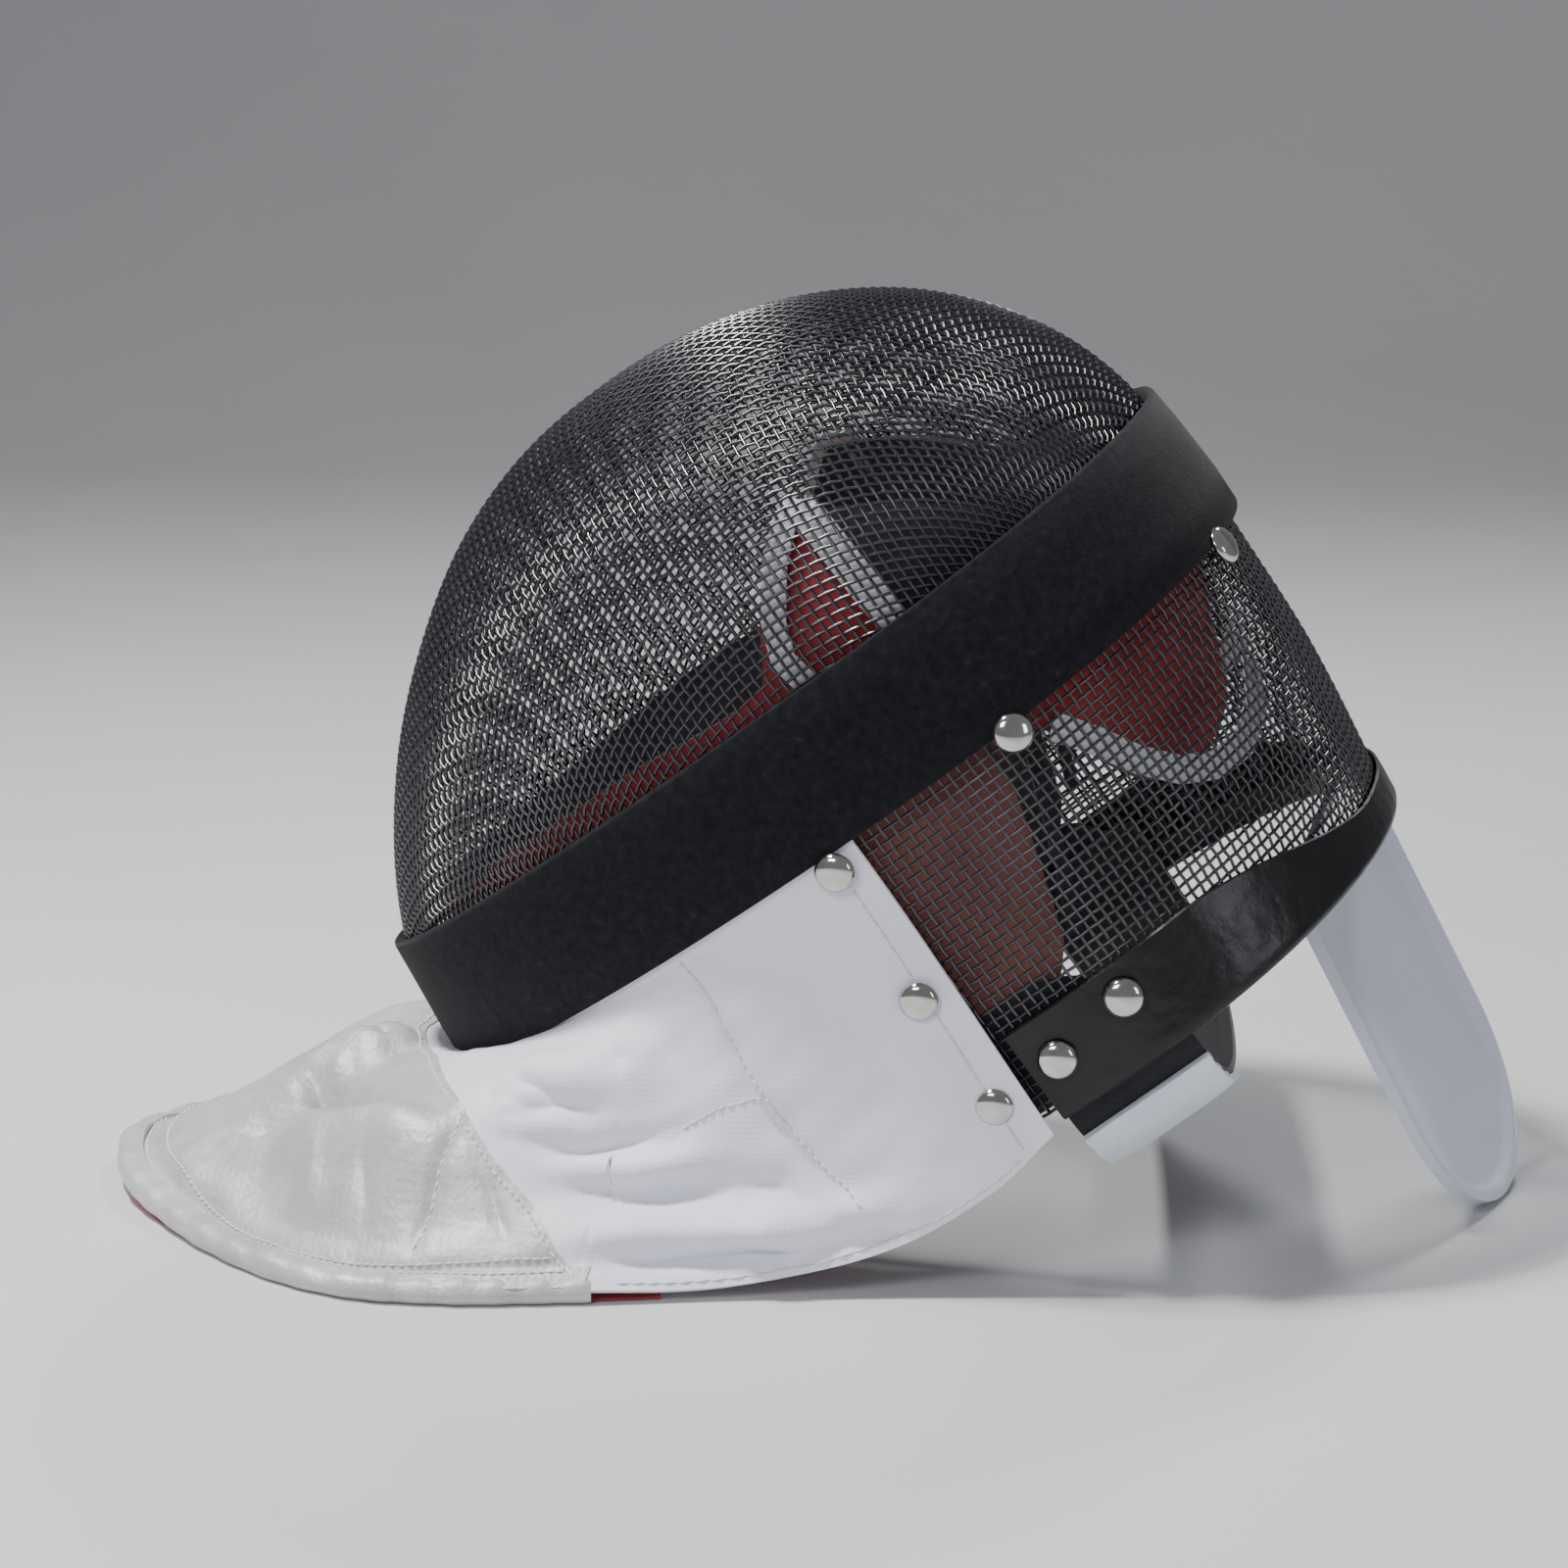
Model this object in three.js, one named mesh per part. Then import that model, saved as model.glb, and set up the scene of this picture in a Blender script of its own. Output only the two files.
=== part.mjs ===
// A foil fencing mask that lies on its bib and on the tip of its spring tongue, face up.
// Millimetres, +Z up, resting on z = 0.
//
// The mask is built in the wearer's frame: x runs from the chin to the crown, y to the wearer's
// right and z straight out of the face. z = 0 is the front edge of the black band, where the
// domed face mesh starts, and x = 0 is the chin. One turned group tilts that frame to the way
// the mask lies. The bib, which lies on the floor, is lofted from the band down to the floor.

import * as THREE from 'three';
import { mergeVertices } from 'three/addons/utils/BufferGeometryUtils.js';

// ---------------------------------------------------------------- driving dimensions

const tilt = THREE.MathUtils.degToRad(36.7);  // of the chin-to-crown line over the floor
const chinPlace = new THREE.Vector3(-122.5, 0, 69.7);
const widest = 182;          // x of the widest section
const halfWidth = 104;
const meshThickness = 2;     // the woven wire, front to back
const clothThickness = 1.5;
const bandThickness = 1.6;
const bandDepth = 42;        // along z
const gap = 0.35;            // between neighbouring pieces
const clothOutset = gap;
const bandOutset = clothOutset + clothThickness + gap;
const rimDepth = 138;        // of the back mesh behind the band's front edge
const bibEdge = 99.2;        // angle from the crown to the bib's rear edge, degrees

// Plan of the shell: a superellipse, rounder at the crown than at the chin.
const crownPower = 2.05;
const chinPower = 1.8;

// The face dome in the sagittal plane: reach from the widest section at each angle over the
// band plane, from the crown (0) over the face (90) to the chin (180).
const faceReach = [
  { angle: 0, reach: 101.0 },
  { angle: 15, reach: 97.8 },
  { angle: 30, reach: 94.6 },
  { angle: 45, reach: 92.3 },
  { angle: 60, reach: 91.1 },
  { angle: 75, reach: 91.7 },
  { angle: 90, reach: 94.4 },
  { angle: 105, reach: 99.8 },
  { angle: 120, reach: 109.0 },
  { angle: 135, reach: 120.2 },
  { angle: 150, reach: 133.4 },
  { angle: 165, reach: 151.5 },
  { angle: 180, reach: 173.5 },
];

// The shell behind the band plane: depth behind it, and how far each section's ends lie from
// the widest section, with the half width there.
const shellSections = [
  { depth: -20, crown: 101.0, chin: 173.5, half: 104.0 },
  { depth: 0, crown: 101.0, chin: 173.5, half: 104.0 },
  { depth: 25, crown: 102.4, chin: 177.0, half: 104.6 },
  { depth: 50, crown: 101.6, chin: 179.8, half: 105.0 },
  { depth: 90, crown: 99.2, chin: 183.5, half: 105.0 },
  { depth: 145, crown: 90.5, chin: 187.0, half: 103.0 },
];

// Front edge of the padding over the band plane, by angle from the crown.
const padFront = [
  { angle: 0, height: 2 },
  { angle: 45, height: 2 },
  { angle: 56, height: 10 },
  { angle: 70, height: 34 },
  { angle: 82, height: 47 },
  { angle: 84, height: 49 },
  { angle: 90, height: 40 },
  { angle: 96, height: 22 },
  { angle: 99, height: 5 },
  { angle: 118, height: 6 },
  { angle: 150, height: 5 },
  { angle: 180, height: 3 },
];

// How far the padding reaches behind the band plane.
const padRear = [
  { angle: 0, depth: 46 },
  { angle: 15, depth: 48 },
  { angle: 28, depth: 58 },
  { angle: 44, depth: 82 },
  { angle: 52, depth: 87 },
  { angle: 62, depth: 72 },
  { angle: 74, depth: 48 },
  { angle: 79, depth: 46 },
  { angle: 81, depth: 58 },
  { angle: 86, depth: 84 },
  { angle: 92, depth: 104 },
  { angle: 100, depth: 108 },
  { angle: 110, depth: 102 },
  { angle: 125, depth: 85 },
  { angle: 150, depth: 40 },
  { angle: 180, depth: 34 },
];

// The bib's lower edge on the floor, from the near rear corner (share 0) round its tip (0.5)
// to the far one: share of the way round, place on the floor plane and height over it.
const bibHem = [
  { share: 0.00, x: 82, y: -106.5, z: 46 },
  { share: 0.04, x: 65, y: -108, z: 29 },
  { share: 0.09, x: 35, y: -111, z: 12 },
  { share: 0.14, x: -8, y: -117, z: 3 },
  { share: 0.20, x: -47, y: -124, z: 3 },
  { share: 0.27, x: -86, y: -128, z: 3 },
  { share: 0.33, x: -119, y: -122, z: 3 },
  { share: 0.38, x: -150, y: -99, z: 3 },
  { share: 0.43, x: -179, y: -64, z: 4 },
  { share: 0.475, x: -197, y: -34, z: 6 },
  { share: 0.50, x: -204, y: -6, z: 7 },
  { share: 0.525, x: -201, y: 18, z: 6 },
  { share: 0.57, x: -181, y: 50, z: 4 },
  { share: 0.62, x: -150, y: 84, z: 3 },
  { share: 0.67, x: -119, y: 109, z: 3 },
  { share: 0.73, x: -86, y: 119, z: 3 },
  { share: 0.80, x: -47, y: 120, z: 3 },
  { share: 0.86, x: -8, y: 116, z: 3 },
  { share: 0.91, x: 35, y: 111, z: 12 },
  { share: 0.96, x: 65, y: 108, z: 29 },
  { share: 1.00, x: 82, y: 106.5, z: 46 },
];

// Where the white cloth ends and the silver front begins, as a share of the way down.
const bibSeam = [
  { share: 0.20, down: 1.00 },
  { share: 0.215, down: 0.86 },
  { share: 0.24, down: 0.70 },
  { share: 0.28, down: 0.53 },
  { share: 0.32, down: 0.39 },
  { share: 0.40, down: 0.21 },
  { share: 0.50, down: 0.18 },
  { share: 0.60, down: 0.21 },
  { share: 0.68, down: 0.39 },
  { share: 0.72, down: 0.53 },
  { share: 0.76, down: 0.70 },
  { share: 0.785, down: 0.86 },
  { share: 0.80, down: 1.00 },
];

// Folds of the bib: place on it, how far each spreads round and down, and its height.
const bibFolds = [
  { share: 0.235, down: 0.30, spread: 0.040, fall: 0.16, height: 6 },
  { share: 0.18, down: 0.60, spread: 0.050, fall: 0.10, height: -4 },
  { share: 0.16, down: 0.80, spread: 0.060, fall: 0.09, height: 5 },
  { share: 0.34, down: 0.62, spread: 0.035, fall: 0.20, height: 7 },
  { share: 0.42, down: 0.55, spread: 0.030, fall: 0.25, height: -5 },
  { share: 0.47, down: 0.50, spread: 0.025, fall: 0.22, height: 6 },
  { share: 0.56, down: 0.45, spread: 0.035, fall: 0.25, height: 6 },
  { share: 0.70, down: 0.50, spread: 0.050, fall: 0.25, height: 7 },
  { share: 0.82, down: 0.60, spread: 0.050, fall: 0.25, height: 6 },
];

const tongueWidth = 92;
const tongueThickness = 3;
const tongueRoot = new THREE.Vector3(245, 0, -144);
const tongueTip = new THREE.Vector3(227, 0, -256.5);
const tongueTurn = THREE.MathUtils.degToRad(20);  // it hangs turned about its own length
const tongueDish = 5;        // depth of its gutter

const strapWidth = 42;
const strapMiddle = 175;     // x of its centre line
const strapThickness = 1.6;

const rivetRadius = 5.7;
const rivetHeight = 3;

// ---------------------------------------------------------------- numbers and curves

// A smooth value between the rows of a table, by one of its columns.
function tableValue(rows, keyColumn, valueColumn, key) {
  const last = rows.length - 1;
  const clamped = THREE.MathUtils.clamp(key, rows[0][keyColumn], rows[last][keyColumn]);
  let index = 0;
  while (index < last - 1 && rows[index + 1][keyColumn] < clamped) index += 1;
  const slope = (i) => {
    const before = rows[Math.max(i - 1, 0)];
    const after = rows[Math.min(i + 1, last)];
    return (after[valueColumn] - before[valueColumn]) / (after[keyColumn] - before[keyColumn]);
  };
  const start = rows[index];
  const end = rows[index + 1];
  const span = end[keyColumn] - start[keyColumn];
  const t = (clamped - start[keyColumn]) / span;
  const rise = t * t * (3 - 2 * t);
  const startPull = t * (1 - t) * (1 - t) * span * slope(index);
  const endPull = t * t * (1 - t) * span * slope(index + 1);
  return start[valueColumn] + (end[valueColumn] - start[valueColumn]) * rise + startPull - endPull;
}

// A point of the shell behind the band plane. The angle runs from the crown (0) over the
// wearer's left side (90) to the chin (180); inset is how far inside the mesh's outside it is.
function shellPoint(angle, z, inset) {
  const along = Math.cos(THREE.MathUtils.degToRad(angle));
  const aside = Math.sin(THREE.MathUtils.degToRad(angle));
  const end = along > 0 ? 'crown' : 'chin';
  const power = along > 0 ? crownPower : chinPower;
  const reach = tableValue(shellSections, 'depth', end, -z) - inset;
  const half = tableValue(shellSections, 'depth', 'half', -z) - inset;
  const scale = (Math.abs(along) ** power + Math.abs(aside) ** power) ** (-1 / power);
  return new THREE.Vector3(widest + reach * along * scale, -half * aside * scale, z);
}

// A point of the face dome: the same angle round, and lift from the band plane (0) to
// straight out over the widest section (90).
function facePoint(angle, lift, inset) {
  const round = THREE.MathUtils.degToRad(angle);
  const up = THREE.MathUtils.degToRad(lift);
  const start = shellPoint(angle, 0, 0);
  const direction = new THREE.Vector3(
    (start.x - widest) * Math.cos(up),
    start.y * Math.cos(up),
    halfWidth * Math.sin(up),
  );
  const along = Math.abs(direction.x) < 1e-6 ? Math.sign(Math.cos(round)) * 1e-6 : direction.x;
  const turn = Math.atan2(direction.z, along);
  const share = turn / Math.PI;
  const power = THREE.MathUtils.lerp(crownPower, chinPower, share);
  const reach = tableValue(faceReach, 'angle', 'reach', THREE.MathUtils.radToDeg(turn)) - inset;
  const inPlane = Math.hypot(direction.x, direction.z) / reach;
  const aside = Math.abs(direction.y) / (halfWidth - inset);
  const scale = (inPlane ** power + aside ** power) ** (-1 / power);
  return direction.multiplyScalar(scale).add(new THREE.Vector3(widest, 0, 0));
}

// The outward direction of the shell at an angle, square to z.
function shellNormal(angle, z) {
  const tangent = shellPoint(angle + 1, z, 0).sub(shellPoint(angle - 1, z, 0));
  return new THREE.Vector3(-tangent.y, tangent.x, 0).normalize();
}

// ---------------------------------------------------------------- closed sheets

// A closed solid from a list of corner points and triangles, with its faces turned outwards.
function closedSolid(points, triangles) {
  const raw = new THREE.BufferGeometry();
  const numbers = points.flatMap((point) => [point.x, point.y, point.z]);
  raw.setAttribute('position', new THREE.Float32BufferAttribute(numbers, 3));
  raw.setIndex(triangles);
  const merged = mergeVertices(raw, 1e-3);
  const index = Array.from(merged.index.array);
  const position = merged.attributes.position;
  const corner = (i) => new THREE.Vector3().fromBufferAttribute(position, i);
  const kept = [];
  let volume = 0;
  for (let i = 0; i < index.length; i += 3) {
    const [a, b, c] = index.slice(i, i + 3);
    if (a !== b && b !== c && c !== a) {
      kept.push(a, b, c);
      volume += corner(a).dot(corner(b).cross(corner(c)));
    }
  }
  if (volume < 0) {
    for (let i = 0; i < kept.length; i += 3) {
      [kept[i], kept[i + 1]] = [kept[i + 1], kept[i]];
    }
  }
  merged.setIndex(kept);
  merged.computeVertexNormals();
  return merged;
}

// A sheet with an outside and an inside, given as functions of two shares from 0 to 1. It
// closes on itself across when wrapped, and each free edge gets a wall.
function sheetSolid(across, along, outside, inside, wrapped = false) {
  const points = [];
  const triangles = [];
  const columns = wrapped ? across : across + 1;
  const id = (side, i, j) => (side * (along + 1) + j) * columns + (i % columns);
  for (const side of [outside, inside]) {
    for (let j = 0; j <= along; j += 1) {
      for (let i = 0; i < columns; i += 1) points.push(side(i / across, j / along));
    }
  }
  const quad = (a, b, c, d) => triangles.push(a, b, c, a, c, d);
  for (let i = 0; i < across; i += 1) {
    for (let j = 0; j < along; j += 1) {
      quad(id(0, i, j), id(0, i + 1, j), id(0, i + 1, j + 1), id(0, i, j + 1));
      quad(id(1, i, j), id(1, i, j + 1), id(1, i + 1, j + 1), id(1, i + 1, j));
    }
    quad(id(0, i + 1, 0), id(0, i, 0), id(1, i, 0), id(1, i + 1, 0));
    quad(id(0, i, along), id(0, i + 1, along), id(1, i + 1, along), id(1, i, along));
  }
  for (let j = 0; j < along && !wrapped; j += 1) {
    quad(id(0, 0, j), id(0, 0, j + 1), id(1, 0, j + 1), id(1, 0, j));
    quad(id(0, across, j + 1), id(0, across, j), id(1, across, j), id(1, across, j + 1));
  }
  return closedSolid(points, triangles);
}

// A ring or strip with one section all the way: sectionAt gives its corners at each share.
function sweptSolid(steps, sectionAt, wrapped = false) {
  const sections = [];
  const count = wrapped ? steps : steps + 1;
  for (let i = 0; i < count; i += 1) sections.push(sectionAt(i / steps));
  const size = sections[0].length;
  const triangles = [];
  for (let i = 0; i < steps; i += 1) {
    const next = (i + 1) % count;
    for (let k = 0; k < size; k += 1) {
      const following = (k + 1) % size;
      const [a, b] = [i * size + k, i * size + following];
      const [c, d] = [next * size + following, next * size + k];
      triangles.push(a, b, c, a, c, d);
    }
  }
  if (!wrapped) {
    const shape = sections[0].map((point, k) => k);
    const flat = flattened(sections[0]);
    const faces = THREE.ShapeUtils.triangulateShape(flat, []);
    const lastStart = (count - 1) * size;
    for (const [a, b, c] of faces) {
      triangles.push(shape[a], shape[c], shape[b]);
      triangles.push(lastStart + a, lastStart + b, lastStart + c);
    }
  }
  return closedSolid(sections.flat(), triangles);
}

// The corners of a plane section as points of that plane.
function flattened(section) {
  const origin = section[0];
  const first = section[1].clone().sub(origin).normalize();
  const normal = new THREE.Vector3();
  section.forEach((point, k) => {
    const following = section[(k + 1) % section.length];
    normal.add(point.clone().sub(origin).cross(following.clone().sub(origin)));
  });
  const second = normal.normalize().cross(first);
  return section.map((point) => {
    const offset = point.clone().sub(origin);
    return new THREE.Vector2(offset.dot(first), offset.dot(second));
  });
}

// ---------------------------------------------------------------- materials

function material(color, roughness, metalness) {
  return new THREE.MeshStandardMaterial({ color, roughness, metalness });
}

function named(name, geometry, look) {
  const mesh = new THREE.Mesh(geometry, look);
  mesh.name = name;
  return mesh;
}

const blackWire = () => material(0x1c1c1f, 0.45, 0.7);
const blackSuede = () => material(0x15161a, 0.95, 0);
const blackGloss = () => material(0x101013, 0.3, 0);
const whiteCloth = () => material(0xe9e8f2, 0.7, 0);
const silverCloth = () => material(0xb9b8b6, 0.55, 0.35);
const redCloth = () => material(0xa3131f, 0.75, 0);
const whitePlastic = () => material(0xe4e6ee, 0.3, 0);
const chrome = () => material(0xd8d8d4, 0.15, 1);
const steel = () => material(0x8d8f94, 0.4, 1);
const blackElastic = () => material(0x0f0f12, 0.9, 0);

// ---------------------------------------------------------------- the shell

const tuckUnderBand = 12;

function faceMesh() {
  const surface = (inset) => (i, j) => {
    const rings = 17;
    const lift = (j * rings - 1) / (rings - 1) * 90;
    return lift < 0 ? shellPoint(i * 360, -tuckUnderBand, inset) : facePoint(i * 360, lift, inset);
  };
  return named('face_mesh', sheetSolid(44, 17, surface(0), surface(meshThickness), true), blackWire());
}

function backMesh() {
  const reachAround = 103;
  const front = -bandDepth + tuckUnderBand;
  const surface = (inset) => (i, j) =>
    shellPoint((2 * i - 1) * reachAround, THREE.MathUtils.lerp(front, -rimDepth, j), inset);
  return named('back_mesh', sheetSolid(36, 6, surface(0), surface(meshThickness)), blackWire());
}

function seamBand() {
  const surface = (inset) => (i, j) => shellPoint(i * 360, -j * bandDepth, inset);
  const outside = surface(-bandOutset - bandThickness);
  return named('seam_band', sheetSolid(56, 3, outside, surface(-bandOutset), true), blackSuede());
}

// A channel over the rim's edge: wide outside at the sides and narrow round the crown.
function rimTrim() {
  const reachAround = bibEdge - 0.6;
  const widthAt = (angle) => THREE.MathUtils.lerp(10, 27, THREE.MathUtils.smoothstep(Math.abs(angle), 22, 72));
  const sectionAt = (share) => {
    const angle = (2 * share - 1) * reachAround;
    const edge = -rimDepth - gap;
    return [
      { inset: -gap, z: edge },
      { inset: -gap, z: edge + widthAt(angle) },
      { inset: -gap - 1.6, z: edge + widthAt(angle) },
      { inset: -gap - 1.9, z: edge - 0.4 },
      { inset: -gap - 0.8, z: edge - 2 },
      { inset: meshThickness + gap + 0.8, z: edge - 2 },
      { inset: meshThickness + gap + 1.9, z: edge - 0.4 },
      { inset: meshThickness + gap + 1.6, z: edge + 8 },
      { inset: meshThickness + gap, z: edge + 8 },
      { inset: meshThickness + gap, z: edge },
    ].map(({ inset, z }) => shellPoint(angle, z, inset));
  };
  return named('rim_trim', sweptSolid(40, sectionAt), blackGloss());
}

// ---------------------------------------------------------------- padding inside

const padClear = 2.5;        // from the mesh's inside
const padThickness = 10;

function padSolid(name, fromAngle, toAngle, steps) {
  const surface = (inset) => (i, j) => {
    const angle = THREE.MathUtils.lerp(fromAngle, toAngle, i);
    const fold = angle > 180 ? 360 - angle : Math.abs(angle);
    const front = tableValue(padFront, 'angle', 'height', fold);
    const z = THREE.MathUtils.lerp(front, -tableValue(padRear, 'angle', 'depth', fold), j);
    if (z <= 0) return shellPoint(angle, z, inset);
    const lift = liftAt(angle, z, inset);
    return facePoint(angle, lift, inset);
  };
  const inset = meshThickness + padClear;
  const geometry = sheetSolid(steps, 6, surface(inset), surface(inset + padThickness));
  return named(name, geometry, redCloth());
}

// The lift at which the dome, inset, is at a height over the band plane.
function liftAt(angle, height, inset) {
  let [low, high] = [0, 80];
  for (let i = 0; i < 24; i += 1) {
    const middle = (low + high) / 2;
    if (facePoint(angle, middle, inset).z < height) low = middle;
    else high = middle;
  }
  return low;
}

// ---------------------------------------------------------------- strap and tongue

// The elastic is one band from rim to rim behind the head: its centre line in a plane of
// constant x, from inside the near rim, out past it, across, and in at the far rim.
function strapLine() {
  const inside = 95;
  return new THREE.CatmullRomCurve3([
    new THREE.Vector3(0, -inside, -112),
    new THREE.Vector3(0, -inside, -132),
    new THREE.Vector3(0, -inside + 0.5, -146),
    new THREE.Vector3(0, -inside + 7, -157),
    new THREE.Vector3(0, -inside + 26, -163),
    new THREE.Vector3(0, 0, -168),
    new THREE.Vector3(0, inside - 26, -163),
    new THREE.Vector3(0, inside - 7, -157),
    new THREE.Vector3(0, inside - 0.5, -146),
    new THREE.Vector3(0, inside, -132),
    new THREE.Vector3(0, inside, -112),
  ], false, 'centripetal');
}

// A strip of a width along x that follows part of the strap's line, at an offset outwards.
function strapStrip(name, from, to, steps, width, offset, thickness, look) {
  const line = strapLine();
  const face = (extra) => (i, j) => {
    const share = THREE.MathUtils.lerp(from, to, j);
    const point = line.getPointAt(share);
    const tangent = line.getTangentAt(share);
    const outward = new THREE.Vector3(0, tangent.z, -tangent.y);
    point.addScaledVector(outward, offset + extra);
    point.x = strapMiddle + (i - 0.5) * width;
    return point;
  };
  return named(name, sheetSolid(2, steps, face(thickness), face(0)), look);
}

function tongue() {
  const axis = tongueTip.clone().sub(tongueRoot);
  const length = axis.length();
  axis.normalize();
  const side = new THREE.Vector3(0, -1, 0);
  const outward = new THREE.Vector3().crossVectors(side, axis).normalize();
  if (outward.x < 0) outward.negate();
  side.applyAxisAngle(axis, tongueTurn);
  outward.applyAxisAngle(axis, tongueTurn);
  const roundEnd = 46;       // length of the rounded tip
  const lipWidth = 0.08;     // of the half width
  const lipHeight = 1.6;
  const surface = (offset) => (i, j) => {
    const run = j * length;
    const nearTip = Math.max(0, (run - length + roundEnd) / roundEnd);
    const half = (tongueWidth / 2) * (1 - nearTip ** 2.2) ** 0.5;
    const place = 2 * i - 1;
    const lip = Math.abs(place) > 1 - lipWidth * 2 && offset > 0 ? lipHeight : 0;
    const dish = tongueDish * place * place + lip;
    return tongueRoot.clone()
      .addScaledVector(axis, run)
      .addScaledVector(side, half * place)
      .addScaledVector(outward, dish * Math.min(1, half / 20) + offset);
  };
  return named('tongue', sheetSolid(14, 16, surface(tongueThickness), surface(0)), whitePlastic());
}

// A bent steel strip from the inside of the rim at the crown to the back of the tongue's root.
function tongueBracket() {
  const width = 14;
  const thickness = 1.8;
  const rim = shellPoint(0, -121, meshThickness + gap).x;
  const back = tongueRoot.x - 3.4;
  const profile = new THREE.Shape([
    new THREE.Vector2(rim, -102),
    new THREE.Vector2(rim, -121),
    new THREE.Vector2(back, -142),
    new THREE.Vector2(back - 3, -160),
    new THREE.Vector2(back - 3 - thickness, -160),
    new THREE.Vector2(back - thickness, -141.2),
    new THREE.Vector2(rim - thickness, -120.2),
    new THREE.Vector2(rim - thickness, -102),
  ]);
  const geometry = new THREE.ExtrudeGeometry(profile, { depth: width, bevelEnabled: false });
  geometry.translate(0, 0, -width / 2);
  geometry.rotateX(Math.PI / 2);
  return named('tongue_bracket', geometry, steel());
}

// ---------------------------------------------------------------- rivets

// Domed heads: x along the shell, depth behind the band plane, and how far out the piece
// under each one reaches. Each is on both sides.
const bandTop = bandOutset + bandThickness;
const clothTop = clothOutset + clothThickness;
const rivetRows = [
  { name: 'band_side', x: 205.8, depth: 43.5, outset: bandTop },
  { name: 'band_crown', x: 275, depth: 43.5, outset: bandTop },
  { name: 'bib_top', x: 145.3, depth: 46.5, outset: bandTop },
  { name: 'bib_middle', x: 142.7, depth: 88.9, outset: clothTop + 2.5 },
  { name: 'bib_rear', x: 142.1, depth: 125.1, outset: clothTop },
  { name: 'strap_front', x: 187.8, depth: 120.5, outset: clothTop + 0.6 },
  { name: 'strap_rear', x: 163.1, depth: 124.5, outset: clothTop + 0.6 },
];

// The angle at which the shell at a depth has a given x.
function angleAt(x, z) {
  let [low, high] = [0, 180];
  for (let i = 0; i < 32; i += 1) {
    const middle = (low + high) / 2;
    if (shellPoint(middle, z, 0).x > x) low = middle;
    else high = middle;
  }
  return low;
}

function rivetHead() {
  const profile = [new THREE.Vector2(0, 0)];
  const steps = 5;
  for (let i = 0; i <= steps; i += 1) {
    const turn = (i / steps) * Math.PI / 2;
    const height = 0.8 + (rivetHeight - 0.8) * Math.sin(turn);
    profile.push(new THREE.Vector2(rivetRadius * Math.cos(turn), i === 0 ? 0.8 : height));
  }
  profile.splice(1, 0, new THREE.Vector2(rivetRadius, 0));
  profile[profile.length - 1].x = 0;
  return new THREE.LatheGeometry(profile, 16);
}

function rivets() {
  const heads = [];
  for (const { name, x, depth, outset } of rivetRows) {
    const angle = angleAt(x, -depth);
    for (const [sideName, sign] of [['left', 1], ['right', -1]]) {
      const normal = shellNormal(sign * angle, -depth);
      const head = named(`rivet_${name}_${sideName}`, rivetHead(), chrome());
      head.position.copy(shellPoint(sign * angle, -depth, 0));
      head.position.addScaledVector(normal, outset + gap);
      head.quaternion.setFromUnitVectors(new THREE.Vector3(0, 1, 0), normal);
      heads.push(head);
    }
  }
  return heads;
}

// ---------------------------------------------------------------- the bib

const bibTopSide = -42.6;    // z of its upper edge, just behind the band at the sides
const bibTopFront = -51;     // and at the chin
const bibPull = 0.9;         // how far the cloth keeps its direction at each edge

// The wearer's frame as it lies on the floor.
const lying = new THREE.Matrix4()
  .makeRotationY(-tilt)
  .setPosition(chinPlace);

// A point of the bib: share round it from the near rear corner to the far one, and down from
// the band (0) to its lower edge (1).
function bibPoint(share, down, outset) {
  const angle = bibEdge + share * (360 - 2 * bibEdge);
  const front = Math.sin(Math.PI * share) ** 2;
  const fromCorner = Math.min(share, 1 - share);
  const free = THREE.MathUtils.smoothstep(fromCorner, 0.03, 0.13);
  const bibTop = THREE.MathUtils.lerp(bibTopSide, bibTopFront, free);
  const top = shellPoint(angle, bibTop, -outset).applyMatrix4(lying);
  const bottom = new THREE.Vector3(
    tableValue(bibHem, 'share', 'x', share),
    tableValue(bibHem, 'share', 'y', share),
    tableValue(bibHem, 'share', 'z', share),
  );
  const rearwards = new THREE.Vector3(0, 0, -1).transformDirection(lying);
  const outwards = shellNormal(angle, bibTop).transformDirection(lying);
  const forwards = outwards.clone().setZ(0.55).normalize();
  const start = rearwards.multiplyScalar(1 - front).addScaledVector(forwards, free * (0.1 + front));
  start.normalize();
  const flat = new THREE.Vector3(bottom.x - top.x, bottom.y - top.y, 0);
  const fall = bottom.clone().sub(top).normalize();
  const end = fall.lerp(flat.normalize(), free * (0.6 * front + 0.15)).normalize();
  const pull = bibPull * top.distanceTo(bottom);
  const t = down;
  const point = top.clone().multiplyScalar(1 - t * t * (3 - 2 * t))
    .addScaledVector(bottom, t * t * (3 - 2 * t))
    .addScaledVector(start, t * (1 - t) * (1 - t) * pull)
    .addScaledVector(end, -t * t * (1 - t) * pull);
  let lift = 0;
  for (const fold of bibFolds) {
    const round = (share - fold.share) / fold.spread;
    const along = (down - fold.down) / fold.fall;
    lift += fold.height * Math.exp(-round * round - along * along);
  }
  const edge = Math.sin(Math.PI * THREE.MathUtils.clamp(down, 0, 1));
  return point.addScaledVector(outwards.lerp(new THREE.Vector3(0, 0, 1), front), lift * edge);
}

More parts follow.
